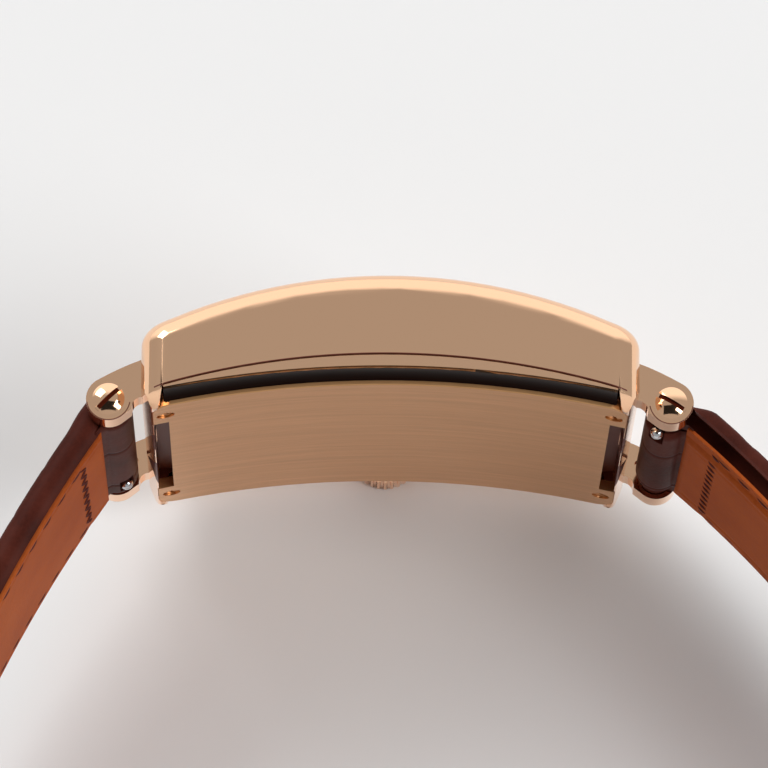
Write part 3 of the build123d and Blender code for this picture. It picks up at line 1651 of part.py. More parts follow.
# Set the watch down: the floor touches the crown, the buckle and the tip of the long strap
ground = []
for name in ("crown", "buckle_frame", "strap_6_leather"):
    vertices, triangles = pieces[name].tessellate(mesh_tolerance)
    ground.append(vertices)
up = Vector(0, -1, 0)
for step in range(stance_rounds):
    feet = [min(vertices, key=lambda vertex: vertex.dot(up)) for vertices in ground]
    tilted = (feet[1] - feet[0]).cross(feet[2] - feet[0]).normalized()
    up = tilted if tilted.dot(up) > 0 else -tilted
along = Vector(1, 0, 0)
along = (along - up * along.dot(up)).normalized()
set_down = Plane(origin=feet[0], x_dir=along, z_dir=up).location.inverse()
placed = {name: piece.moved(set_down) for name, piece in pieces.items()}
boxes = [piece.bounding_box() for piece in placed.values()]
middle_x = (min(box.min.X for box in boxes) + max(box.max.X for box in boxes)) / 2
middle_y = (min(box.min.Y for box in boxes) + max(box.max.Y for box in boxes)) / 2
floor_z = min(box.min.Z for box in boxes)
centred = Location((-middle_x, -middle_y, -floor_z))
for name, piece in placed.items():
    piece = piece.moved(centred)
    piece.label = name
    export_step(piece, f"parts/{name}.step")
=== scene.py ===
import json
import math
import bmesh
import bpy
import numpy as np
from mathutils import Matrix, Vector


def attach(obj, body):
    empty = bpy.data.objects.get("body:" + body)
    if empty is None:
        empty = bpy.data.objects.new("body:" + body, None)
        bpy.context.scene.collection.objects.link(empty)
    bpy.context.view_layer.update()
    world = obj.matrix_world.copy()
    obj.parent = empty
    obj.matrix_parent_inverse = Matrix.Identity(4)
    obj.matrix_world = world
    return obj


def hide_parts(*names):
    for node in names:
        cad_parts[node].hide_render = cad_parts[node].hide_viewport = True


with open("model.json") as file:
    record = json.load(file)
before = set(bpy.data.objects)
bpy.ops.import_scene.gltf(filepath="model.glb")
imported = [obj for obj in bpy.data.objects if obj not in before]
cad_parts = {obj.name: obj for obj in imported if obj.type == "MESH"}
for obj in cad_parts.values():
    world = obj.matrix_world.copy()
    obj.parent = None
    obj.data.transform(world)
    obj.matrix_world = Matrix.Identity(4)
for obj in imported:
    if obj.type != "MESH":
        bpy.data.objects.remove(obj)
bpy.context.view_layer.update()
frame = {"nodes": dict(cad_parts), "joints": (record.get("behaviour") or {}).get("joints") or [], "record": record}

print("frame loaded:", len(frame["nodes"]), "nodes")

# The watch's own directions, in mm: x from 12 to 6 o'clock, y from 9 to 3, z out of the dial,
# with its strap bars at -strapBarX and strapBarX. They come from the joints of the frame.
mm = 0.001
jointNamed = {joint["name"]: joint for joint in frame["joints"]}
bar12 = np.array(jointNamed["strap_12_hinge"]["pos_m"])
bar6 = np.array(jointNamed["strap_6_hinge"]["pos_m"])
watchX = (bar6 - bar12) / np.linalg.norm(bar6 - bar12)
watchY = np.array(jointNamed["crown_pull"]["axis"], dtype=float)
watchZ = np.cross(watchX, watchY)
watchTurn = np.array([watchX, watchY, watchZ])
watchOrigin = (bar12 + bar6) / 2
strapBarX = round(float(np.linalg.norm(bar6 - bar12)) / 2 / mm, 3)


def inRow(points):  # from the watch's mm to the frame's metres
    return watchOrigin + mm * (np.asarray(points, dtype=float) @ watchTurn)


def linear(red, green, blue):  # a colour as seen on a screen, made linear
    def one(value):
        value = value / 255
        return value / 12.92 if value <= 0.04045 else ((value + 0.055) / 1.055) ** 2.4
    return (one(red), one(green), one(blue), 1.0)


class Wire:  # a number or vector between shader nodes, with plain arithmetic
    def __init__(self, tree, socket):
        self.tree = tree
        self.socket = socket

    def join(self, target):
        self.tree.links.new(self.socket, target)

    def maths(self, operation, *others):
        node = self.tree.nodes.new("ShaderNodeMath")
        node.operation = operation
        for slot, value in enumerate((self, *others)):
            if isinstance(value, Wire):
                value.join(node.inputs[slot])
            else:
                node.inputs[slot].default_value = value
        return Wire(self.tree, node.outputs[0])

    def __add__(self, other):
        return self.maths("ADD", other)

    def __sub__(self, other):
        return self.maths("SUBTRACT", other)

    def __mul__(self, other):
        return self.maths("MULTIPLY", other)

    def __truediv__(self, other):
        return self.maths("DIVIDE", other)

    __radd__ = __add__
    __rmul__ = __mul__

    def __rsub__(self, other):
        return (self * -1.0) + other

    def __abs__(self):
        return self.maths("ABSOLUTE")

    def __lt__(self, other):  # 1 where it is so, else 0
        return self.maths("LESS_THAN", other)

    def __gt__(self, other):
        return self.maths("GREATER_THAN", other)

    def inside(self, low, high):  # 1 between two numbers
        return (self > low) * (self < high)

    def capped(self):
        return self.maths("MINIMUM", 1.0)


class NodeTree:  # the nodes of one material or of the world
    def __init__(self, owner):
        owner.use_nodes = True
        self.tree = owner.node_tree

    def node(self, kind, inputs=None, out=0, stops=(), **settings):  # any other node
        node = self.tree.nodes.new("ShaderNode" + kind)
        for key, value in settings.items():
            setattr(node, key, value)
        if stops:
            elements = node.color_ramp.elements
            while len(elements) < len(stops):
                elements.new(0.5)
            for element, (place, colour) in zip(elements, stops):
                element.position = place
                element.color = colour
        for key, value in (inputs or {}).items():
            if isinstance(value, Wire):
                value.join(node.inputs[key])
            else:
                node.inputs[key].default_value = value
        return Wire(self.tree, node.outputs[out])


class Finish(NodeTree):  # one material
    def __init__(self, name, colour, **inputs):
        self.material = bpy.data.materials.new(name)
        super().__init__(self.material)
        self.shader = self.tree.nodes["Principled BSDF"]
        self.shader.inputs["Base Color"].default_value = colour
        for key, value in inputs.items():
            self.shader.inputs[key.replace("_", " ")].default_value = value

    def place(self):
        return self.node("TexCoord", out="Object")

    def watchAxes(self):  # the place in the watch's own directions, in mm
        vector = self.place()
        found = []
        for direction in (watchX, watchY, watchZ):
            inputs = {0: vector, 1: tuple(direction)}
            dot = self.node("VectorMath", inputs, out="Value", operation="DOT_PRODUCT")
            found.append((dot - float(np.dot(direction, watchOrigin))) / mm)
        return found

    def noise(self, scale, detail, vector=None, roughness=0.5):
        vector = vector or self.place()
        inputs = {"Vector": vector, "Scale": scale, "Detail": detail, "Roughness": roughness}
        return self.node("TexNoise", inputs, out="Fac")

    def ramp(self, factor, stops):
        return self.node("ValToRGB", {0: factor}, stops=stops)

    def bump(self, height, strength, distance):
        inputs = {"Height": height, "Strength": strength, "Distance": distance}
        self.feed("Normal", self.node("Bump", inputs, out="Normal"))

    def feed(self, key, wire):
        wire.join(self.shader.inputs[key])


goldLook = {
    "polished": linear(255, 207, 168),
    "satin": linear(219, 167, 116),
    "satinLow": linear(207, 155, 105),
    "satinHigh": linear(230, 178, 127),
    # painted shade in the cove between frame and cover and on the closing line
    "paintedCoveShade": linear(22, 9, 5),
    # painted shade and reflection in the pockets, on the closing line, round the lug screws and in their slots
    "paintedShadeTone": linear(96, 38, 22),
    "polishRoughness": 0.09,
    "coveRoughness": (0.12, 0.18),
    "brushRoughness": 0.34,
    "wear": 0.03,
    "wearNoise": (900.0, 3.0),
    "grain": 0.16,
    "grainAlong": 0.35,
    "grainAcross": 9.0,
    "grainBump": (0.22, 0.00003),
    "streakAlong": 0.03,
    "streakAcross": 0.8,
    "pocketDull": 0.7,
    "pocketRough": 0.35,
    "slotRough": 0.2,
}
caseLook = {  # the places of painted shade on case, frame and lug screws, in the watch's mm
    "seamHeight": 2.48,
    "seamArch": 58.5,
    "seamHalf": 0.055,
    "seamFrom": 15.9,
    "coveArch": 79.1,
    "coveTop": 1.545,
    "pocketX": (16.3, 17.53),
    "pocketY": 9.5,
    "pocketTop": 0.9,
    "cutX": (17.4, 18.39),
    "diamondY": 4.6,
    "diamondHalf": 3.7,
    "diamondReach": 0.95,
    "cupY": -4.4,
    "cupHalf": 2.4,
    "cupReach": 0.4,
    "lugRing": (1.57, 1.645),
    "lugFrom": 11.9,
    "lugTop": -0.25,
    "slotReach": 1.0344,
    "slotY": (12.0, 12.13),
}


def polish(finish):  # the roughness of a polished face, a little uneven by its wear
    least = goldLook["polishRoughness"] - goldLook["wear"] / 2
    return finish.noise(*goldLook["wearNoise"]) * goldLook["wear"] + least


def shadeGold(finish, mask, dark):  # polished gold where the mask is 0, painted shade where it is 1
    finish.feed("Base Color", finish.ramp(mask, [(0.0, goldLook["polished"]), (1.0, goldLook[dark])]))


def polishedGold():
    finish = Finish("polishedGold", goldLook["polished"], Metallic=1.0)
    finish.feed("Roughness", polish(finish))
    return finish.material


def caseSeam(x, y, z):  # 1 on the closing line of the case, the arc z = height - x^2 / 2R - x^4 / 8R^3, which gets painted shade
    drop = x * x / (2 * caseLook["seamArch"])
    away = z + drop + drop * drop / (2 * caseLook["seamArch"]) - caseLook["seamHeight"]
    return away.inside(-caseLook["seamHalf"], caseLook["seamHalf"]) * (abs(y) > caseLook["seamFrom"])


def frameGold():  # the cove between frame and cover and the closing line get painted shade, near-black, for the dark corner the cove mirrors
    finish = Finish("frameGold", goldLook["polished"], Metallic=1.0)
    x, y, z = finish.watchAxes()
    below = z + x * x / (2 * caseLook["coveArch"])
    # painted shade: near-black in the cove and on the closing line
    coveShade = ((below < caseLook["coveTop"]) + caseSeam(x, y, z)).capped()
    shadeGold(finish, coveShade, "paintedCoveShade")
    smooth, rough = goldLook["coveRoughness"]
    finish.feed("Roughness", coveShade * (rough - smooth) + smooth)
    return finish.material


def caseGold():  # polished, with painted shade inside the two pockets beside the cover, on the closing line and in an arc round each lug screw
    finish = Finish("caseGold", goldLook["polished"], Metallic=1.0)
    x, y, z = finish.watchAxes()
    out, low = abs(x), z < caseLook["pocketTop"]
    pocket = out.inside(*caseLook["pocketX"]) * (abs(y) < caseLook["pocketY"]) * low
    # further out, each pocket's painted shade also fills a diamond and a round cup
    reach = out - caseLook["cutX"][0]
    diamond = abs(y - caseLook["diamondY"]) / caseLook["diamondHalf"] + reach / caseLook["diamondReach"]
    cupX, cupY = reach / caseLook["cupReach"], (y - caseLook["cupY"]) / caseLook["cupHalf"]
    shadeShapes = ((diamond < 1.0) + (cupX * cupX + cupY * cupY < 1.0)).capped()
    # a painted dark arc round each lug screw stands for shade on the lug's edge
    reach = out - strapBarX
    ring = (reach * reach + z * z).maths("SQRT")
    lugEdge = ring.inside(*caseLook["lugRing"]) * (abs(y) > caseLook["lugFrom"]) * (z < caseLook["lugTop"])
    # all these marks are painted shade and reflection: darker, less metallic and rougher
    dark = (pocket + shadeShapes * out.inside(*caseLook["cutX"]) * low + lugEdge + caseSeam(x, y, z)).capped()
    shadeGold(finish, dark, "paintedShadeTone")
    finish.feed("Metallic", 1.0 - dark * goldLook["pocketDull"])
    finish.feed("Roughness", polish(finish) + dark * goldLook["pocketRough"])
    return finish.material


def screwGold():  # polished, with painted shade in its slot
    finish = Finish("screwGold", goldLook["polished"], Metallic=1.0)
    x, y, z = finish.watchAxes()
    reach = abs(x) - strapBarX
    slot = (reach * reach + z * z < caseLook["slotReach"] ** 2) * abs(y).inside(*caseLook["slotY"])
    # painted shade in the slot
    shadeGold(finish, slot, "paintedShadeTone")
    finish.feed("Roughness", polish(finish) + slot * goldLook["slotRough"])
    return finish.material


def brushedGold():  # fine lines and broader streaks along the watch
    finish = Finish("brushedGold", goldLook["satin"], Metallic=1.0)
    x, y, z = finish.watchAxes()
    along, across = goldLook["grainAlong"], goldLook["grainAcross"]
    lines = finish.node("CombineXYZ", {0: x * along, 1: y * across, 2: z * along})
    grain = finish.noise(1.6, 4.0, lines, 0.7)
    uneven(finish, grain, goldLook["brushRoughness"], goldLook["grain"])
    finish.bump(grain, *goldLook["grainBump"])
    along, across = goldLook["streakAlong"], goldLook["streakAcross"]
    broad = finish.node("CombineXYZ", {0: x * along, 1: y * across, 2: z * along})
    streaks = finish.noise(1.6, 5.0, broad, 0.8)
    stops = [(0.3, goldLook["satinLow"]), (0.5, goldLook["satin"]), (0.7, goldLook["satinHigh"])]
    finish.feed("Base Color", finish.ramp(streaks, stops))
    return finish.material


plainLook = {
    "metalNoise": (1500.0, 3.0),
    "metalSpread": 0.04,
    "paintNoise": (2500.0, 2.0),
    "paintSpread": 0.06,
    "circlesAcross": 8.0,
    "circleSpread": 0.2,
    "circleBump": (0.1, 0.00002),
}


def uneven(finish, grain, roughness, spread):  # a roughness that varies by spread in all
    finish.feed("Roughness", grain * spread + (roughness - spread / 2))


def plainMetal(name, colour, roughness):
    finish = Finish(name, colour, Metallic=1.0)
    uneven(finish, finish.noise(*plainLook["metalNoise"]), roughness, plainLook["metalSpread"])
    return finish.material


def circularMetal(name, colour, roughness):  # grained in circles round the middle of the watch
    finish = Finish(name, colour, Metallic=1.0)
    x, y, z = finish.watchAxes()
    radius = (x * x + y * y).maths("SQRT")
    lines = finish.node("CombineXYZ", {0: radius * plainLook["circlesAcross"], 1: 0.0, 2: z})
    grain = finish.noise(2.0, 3.0, lines, 0.6)
    uneven(finish, grain, roughness, plainLook["circleSpread"])
    finish.bump(grain, *plainLook["circleBump"])
    return finish.material


def plainPaint(name, colour, roughness, metallic=0.0, coat=0.0):
    finish = Finish(name, colour, Metallic=metallic, Coat_Weight=coat)
    uneven(finish, finish.noise(*plainLook["paintNoise"]), roughness, plainLook["paintSpread"])
    return finish.material


def glassFinish():
    finish = Finish("clearCrystal", (1.0, 1.0, 1.0, 1.0), Roughness=0.02, IOR=1.6, Transmission_Weight=1.0)
    return finish.material


leatherLook = {
    "dark": linear(40, 13, 9),
    "middle": linear(76, 32, 23),
    "light": linear(94, 44, 34),
    "patches": (260.0, 3.0),
    "pores": (4200.0, 3.0),
    "poreBump": (0.25, 0.00004),
    "roughness": 0.47,
    "roughSpread": 0.2,
    "shine": 0.06,
    "folds": (-2.4, 7.0),
    "foldHalf": 0.07,
    "foldShade": 0.5,
    "loopLow": -2.4,
    "loopEnd": 22.6,
    "lining": linear(184, 92, 37),
    "liningDark": linear(157, 70, 23),
    "liningPatches": (120.0, 4.0),
    "liningPores": (3000.0, 3.0),
    "liningBump": (0.35, 0.00008),
    "liningRoughness": 0.62,
    "liningSpread": 0.16,
    "liningShine": 0.1,
    "thread": linear(84, 24, 13),
    "threadNoise": (6000.0, 2.0),
    "threadBump": (0.4, 0.00006),
}


def outerLeather():
    finish = Finish("outerLeather", leatherLook["middle"], Specular_IOR_Level=leatherLook["shine"])
    place = finish.place()
    patches = finish.noise(*leatherLook["patches"], place)
    pores = finish.noise(*leatherLook["pores"], place)
    x, y, z = finish.watchAxes()
    # two folds cross each loop where scales meet, and painted shade darkens their creases
    loop = (z > leatherLook["loopLow"]) * (abs(x) < leatherLook["loopEnd"])
    fold = sum(abs(y - across) < leatherLook["foldHalf"] for across in leatherLook["folds"])
    # the folds' creases get painted shade
    tone = patches * 0.8 + pores * 0.2 - fold * loop * leatherLook["foldShade"]
    stops = [(0.2, leatherLook["dark"]), (0.5, leatherLook["middle"]), (0.8, leatherLook["light"])]
    finish.feed("Base Color", finish.ramp(tone, stops))
    uneven(finish, pores, leatherLook["roughness"], leatherLook["roughSpread"])
    finish.bump(pores, *leatherLook["poreBump"])
    return finish.material


def liningLeather():
    finish = Finish("liningLeather", leatherLook["lining"], Specular_IOR_Level=leatherLook["liningShine"])
    place = finish.place()
    patches = finish.noise(*leatherLook["liningPatches"], place)
    pores = finish.noise(*leatherLook["liningPores"], place)
    tone = patches * 0.65 + pores * 0.35
    stops = [(0.3, leatherLook["liningDark"]), (0.7, leatherLook["lining"])]
    finish.feed("Base Color", finish.ramp(tone, stops))
    uneven(finish, pores, leatherLook["liningRoughness"], leatherLook["liningSpread"])
    finish.bump(pores * 0.7 + patches * 0.6, *leatherLook["liningBump"])
    return finish.material


def threadFinish():
    finish = Finish("strapThread", leatherLook["thread"], Roughness=0.7)
    finish.bump(finish.noise(*leatherLook["threadNoise"]), *leatherLook["threadBump"])
    return finish.material


gold = polishedGold()
goldFrame = frameGold()
goldCase = caseGold()
goldScrew = screwGold()
goldBrushed = brushedGold()
steel = plainMetal("polishedSteel", linear(205, 205, 208), 0.16)
darkSteel = plainMetal("blueSteel", linear(40, 48, 90), 0.22)
worksBrass = circularMetal("rhodiumPlate", linear(208, 204, 196), 0.3)
wheelBrass = circularMetal("wheelBrass", linear(214, 176, 110), 0.28)
dialPaint = plainPaint("dialLacquer", linear(236, 231, 220), 0.35, coat=0.3)
ringPaint = plainPaint("dialRingSatin", linear(214, 206, 192), 0.4, metallic=0.6)
rubberBlack = plainPaint("sealRubber", linear(24, 24, 25), 0.6)
ruby = plainPaint("rubyJewel", linear(170, 20, 50), 0.1, coat=0.5)
crystalGlass = glassFinish()
printInk = plainPaint("dialInk", linear(38, 34, 34), 0.45)
leather = outerLeather()
lining = liningLeather()
thread = threadFinish()
print("finishes made")

nodesIn = {  # the CAD nodes in each finish
    goldCase: ["upper_case"],
    gold: ["crown", "buckle_frame", "buckle_bar", "buckle_tongue", "lug_screws", "hour_markers"],
    goldFrame: ["base_frame"],
    goldBrushed: ["back_cover", "back_screws"],
    steel: ["spring_bar_12", "spring_bar_6", "release_pin_12", "release_pin_6", "winding_stem",
            "bridge_screws", "escape_wheel", "pallet_fork", "ratchet_wheel", "crown_wheel", "barrel_arbor",
            "winding_pinion", "sliding_pinion", "cannon_pinion", "crown_tube", "mainspring"],
    darkSteel: ["hour_hand", "minute_hand", "seconds_hand", "hairspring"],
    worksBrass: ["main_plate", "barrel_bridge", "train_bridge", "balance_cock", "movement_ring"],
    wheelBrass: ["barrel", "centre_wheel", "third_wheel", "fourth_wheel", "minute_wheel", "hour_wheel",
                 "balance_wheel"],
    dialPaint: ["dial"],
    ringPaint: ["dial_ring"],
    rubberBlack: ["back_gasket", "crystal_gasket", "crown_seal"],
    ruby: ["jewels"],
    crystalGlass: ["crystal"],
    leather: ["strap_12_leather", "strap_6_leather", "fixed_keeper", "free_keeper"],
    lining: ["strap_12_lining", "strap_6_lining"],
}
for material, names in nodesIn.items():
    for name in names:
        node = frame["nodes"][name]
        node.data.materials.clear()
        node.data.materials.append(material)
print("CAD nodes dressed")


meshLook = {"merge": 2e-7, "shellMerge": 2e-6, "shellFlat": 0.4, "shellSharp": 32.0, "bevelFrom": 40.0}


def newObject(name, data):
    made = bpy.data.objects.new(name, data)
    bpy.context.scene.collection.objects.link(made)
    return made


def makeMesh(name, vertices, faces, material, body, smooth=True, sharp=None):
    mesh = bpy.data.meshes.new(name)
    mesh.from_pydata(inRow(vertices).tolist(), [], faces)
    mesh.materials.append(material)
    mesh.validate()
    shell = bmesh.new()
    shell.from_mesh(mesh)
    bmesh.ops.remove_doubles(shell, verts=shell.verts, dist=meshLook["merge"])
    bmesh.ops.recalc_face_normals(shell, faces=shell.faces)
    shell.to_mesh(mesh)
    shell.free()
    if smooth:
        mesh.polygons.foreach_set("use_smooth", [True] * len(mesh.polygons))
    if sharp:
        mesh.set_sharp_from_angle(angle=math.radians(sharp))
    mesh.update()
    piece = newObject(name, mesh)
    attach(piece, body)
    return piece


# The metal shells get fine broken edges and smooth faces on a merged copy of their solids.
shellLook = {
    "upper_case": {"material": goldCase, "edge": 0.1},
    "base_frame": {"material": goldFrame, "edge": 0.04},
    "back_cover": {"material": goldBrushed, "edge": 0.03},
    "back_screws": {"material": goldBrushed, "edge": 0.02},
    "crown": {"material": gold, "edge": 0.04},
    "buckle_frame": {"material": gold, "edge": 0.08},
    "buckle_tongue": {"material": gold, "edge": 0.06},
}
bodyOf = {node: body for body, nodes in frame["record"]["behaviour"]["bodies"].items() for node in nodes}


def metalShell(name, look):
    shell = bmesh.new()
    shell.from_mesh(frame["nodes"][name].data)
    bmesh.ops.remove_doubles(shell, verts=shell.verts, dist=meshLook["shellMerge"])
    flat = math.radians(meshLook["shellFlat"])
    bmesh.ops.dissolve_limit(shell, angle_limit=flat, verts=shell.verts, edges=shell.edges)
    mesh = bpy.data.meshes.new(name)
    shell.to_mesh(mesh)
    shell.free()
    mesh.materials.clear()
    mesh.materials.append(look["material"])
    mesh.polygons.foreach_set("use_smooth", [True] * len(mesh.polygons))
    mesh.set_sharp_from_angle(angle=math.radians(meshLook["shellSharp"]))
    piece = newObject("".join(word.capitalize() for word in name.split("_")) + "Shell", mesh)
    bevel = piece.modifiers.new("brokenEdge", "BEVEL")
    bevel.width = look["edge"] * mm
    bevel.segments = 2
    bevel.limit_method = "ANGLE"
    bevel.angle_limit = math.radians(meshLook["bevelFrom"])
    bevel.harden_normals = False
    weighted = piece.modifiers.new("evenFaces", "WEIGHTED_NORMAL")
    weighted.keep_sharp = True
    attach(piece, bodyOf[name])
    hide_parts(name)


for name, look in shellLook.items():
    metalShell(name, look)
print("metal shells smoothed")


def numbers(rows, columns, first=0, closeRows=False, closeColumns=False):  # a grid of point numbers
    grid = first + np.arange(rows * columns).reshape(rows, columns)
    if closeRows:
        grid = np.concatenate([grid, grid[:1]])
    if closeColumns:
        grid = np.concatenate([grid, grid[:, :1]], axis=1)
    return grid


def quads(grid):  # the faces between neighbours in a grid of point numbers
    return np.stack([grid[:-1, :-1], grid[1:, :-1], grid[1:, 1:], grid[:-1, 1:]], axis=-1)


def smoothStep(value):
    value = np.clip(value, 0.0, 1.0)
    return value * value * (3 - 2 * value)


# Each strap half follows an arc from its bar: heading h in degrees below the horizontal,
# P(s, n) = C + (R + n)(sin h, cos h), mirrored for the 12 o'clock side. Faces are heights n above
# the arc. The other sizes are in mm along it, across it or from an edge, and turns in degrees.
strapLook = {
    "outerFace": 1.05,
    "innerFace": -0.5,
    "lipFace": -0.95,
    "liningTop": -0.52,
    "liningFace": -1.05,
    "flapFace": -0.75,
    "half": 9.85,
    "tipHalf": 8.0,
    "tipRise": 7.0,
    "tipLong": 9.0,
    "shoulderZ": -2.0,
    "edgeRound": 0.82,
    "lipWidth": 0.55,
    "lipSlope": 0.14,
    "lipStart": 1.0,
    "lipBlend": 0.8,
    "lipEnd": 3.4,
    "lipEndBlend": 1.4,
    "liningInset": 0.5,
    "liningRound": 0.16,
    "liningStart": 1.85,
    "liningEnd": 1.75,
    "liningShoulder": 0.45,
    "firstRow": 0.25,
    "loopOuter": 1.7,
    "loopInner": 0.8,
    "loopLast": -4.0,
    "loopBlend": 3.5,
    "innerBlend": 2.4,
    "wrapGap": 0.06,
    "flapOuter": (2.3, 1.95),
    "flapInner": (2.3, 1.6),
    "flapGap": 0.05,
    "knobHalf": 0.625,
    "knobSides": (6.25, 8.85),
    "buckleOuter": 1.55,
    "buckleInner": 0.75,
    "buckleTurns": (6.0, 228.0),
    "buckleFlap": 1.7,
    "tongueHalf": 1.1,
    "tongueLong": 4.95,
    "padRise": 2.5,
    "scaleLong": 4.6,
    "scaleWide": 5.4,
    "scaleDeep": 0.13,
    "scaleSeam": 0.075,
    "scatterLong": 0.42,
    "scatterWide": 0.5,
    "reliefStart": 1.0,
    "reliefBlend": 3.0,
    "rimShare": 0.35,
    "rimFade": 0.6,
    "innerFrom": 0.45,
    "innerFade": 1.1,
    "stitchInset": 1.4,
    "stitchSink": 0.07,
    "stitchWide": 0.24,
    "liningStitchWide": 0.22,
    "foldDeep": 0.09,
    "foldWide": 0.16,
    "holeCount": 7,
    "holeFirst": 26.0,
    "holePitch": 6.6,
    "holeRadius": 0.98,
    "holeLip": 0.08,
    "holeDip": 0.07,
    "patchRing": 1.3,
    "patchHalf": 1.6,
    "12": {"side": -1, "start": 55.0, "end": 90.0, "length": 68.0, "rise": 0.2, "lean": 34.0, "knob": 1,
           "seed": 3.7, "pad": 0.3, "padFlat": 16.0, "padFade": 18.0},
    "6": {"side": 1, "start": 40.0, "end": 118.0, "length": 110.0, "rise": 0.65, "lean": 35.0, "knob": -1,
          "seed": 8.1, "pad": 1.05, "padFlat": 12.0, "padFade": 45.0},
}
firstHole = strapLook["6"]["length"] - strapLook["holeFirst"]
adjustHoles = [firstHole - strapLook["holePitch"] * count for count in range(strapLook["holeCount"])]
tipRadius = (strapLook["tipHalf"] ** 2 + strapLook["tipRise"] ** 2) / (2 * strapLook["tipRise"])


def strapCurve(key, along, out):  # the place (x, z) at a length along a half and a height above its arc
    half = strapLook[key]
    radius = half["length"] / math.radians(half["end"] - half["start"])
    heading = math.radians(half["start"]) + np.asarray(along, dtype=float) / radius
    startTurn = math.radians(half["start"])
    reach = radius + np.asarray(out, dtype=float)
    x = strapBarX - radius * math.sin(startTurn) + reach * np.sin(heading)
    z = reach * np.cos(heading) - radius * math.cos(startTurn)
    return np.stack([half["side"] * x, z], axis=-1)


def strapFrame(key, along):  # directions along the strap and out of its face, as (x, z)
    half = strapLook[key]
    heading = np.radians(half["start"] + (half["end"] - half["start"]) * np.asarray(along) / half["length"])
    ahead = np.stack([half["side"] * np.cos(heading), -np.sin(heading)], axis=-1)
    outward = np.stack([half["side"] * np.sin(heading), np.cos(heading)], axis=-1)
    return ahead, outward


def loopArc(centre, ahead, outward, radius, degrees):  # points on a loop, 0 being its outer side
    turn = np.radians(np.asarray(degrees, dtype=float))[:, None]
    return centre + radius * (outward * np.cos(turn) + ahead * np.sin(turn))


def strapWidth(key, along, inset=0.0):  # half width of a half at a place along it, less an inset
    endZ = strapCurve(key, strapLook[key]["length"], strapLook[key]["rise"])[1]
    footZ = endZ - 2 * strapLook["loopOuter"] if key == "12" else endZ + strapLook["tipRise"]
    placeZ = strapCurve(key, along, strapLook[key]["rise"])[..., 1]
    share = np.clip((placeZ - strapLook["shoulderZ"]) / (footZ - strapLook["shoulderZ"]), 0, 1)
    width = strapLook["half"] + (strapLook["tipHalf"] - strapLook["half"]) * share - inset
    if key == "6":  # the tip is an arc through its two shoulders
        down = np.clip(endZ + tipRadius - placeZ, 0, tipRadius - inset)
        tipWidth = np.sqrt(np.maximum((tipRadius - inset) ** 2 - down ** 2, 0))
        width = np.where(placeZ < footZ, np.minimum(width, tipWidth), width)
    return width


def scatter(i, j, turnI, turnJ, seed, spread):  # -0.5 to 0.5, always the same for one scale
    return np.modf(np.abs(np.sin(i * turnI + j * turnJ + seed) * spread))[0] - 0.5


def scaleRelief(a, v, seed):
    # Large square scales with sunk seams: each grows round a scattered middle, and where the two
    # nearest are equally far, -exp(-(difference / seam)^2) is -1. It is 0 on a scale.
    gridA, gridV = a / strapLook["scaleLong"], v / strapLook["scaleWide"] + 0.5
    cellA, cellV = np.floor(gridA), np.floor(gridV)
    near, second = np.full(gridA.shape, 9.0), np.full(gridA.shape, 9.0)  # further than any middle
    for stepA in (-2, -1, 0, 1, 2):
        for stepV in (-2, -1, 0, 1, 2):
            i, j = cellA + stepA, cellV + stepV
            middleA = i + 0.5 + strapLook["scatterLong"] * scatter(i, j, 12.99, 78.23, seed, 4375.85)
            middleV = j + 0.5 + strapLook["scatterWide"] * scatter(i, j, 39.35, 11.14, seed * 2, 2461.63)
            awayA, awayV = np.abs(gridA - middleA), np.abs(gridV - middleV)
            away = (awayA ** 3 + awayV ** 3) ** (1 / 3)
            second = np.minimum(second, np.maximum(near, away))
            near = np.minimum(near, away)
    return -np.exp(-((second - near) / strapLook["scaleSeam"]) ** 2)


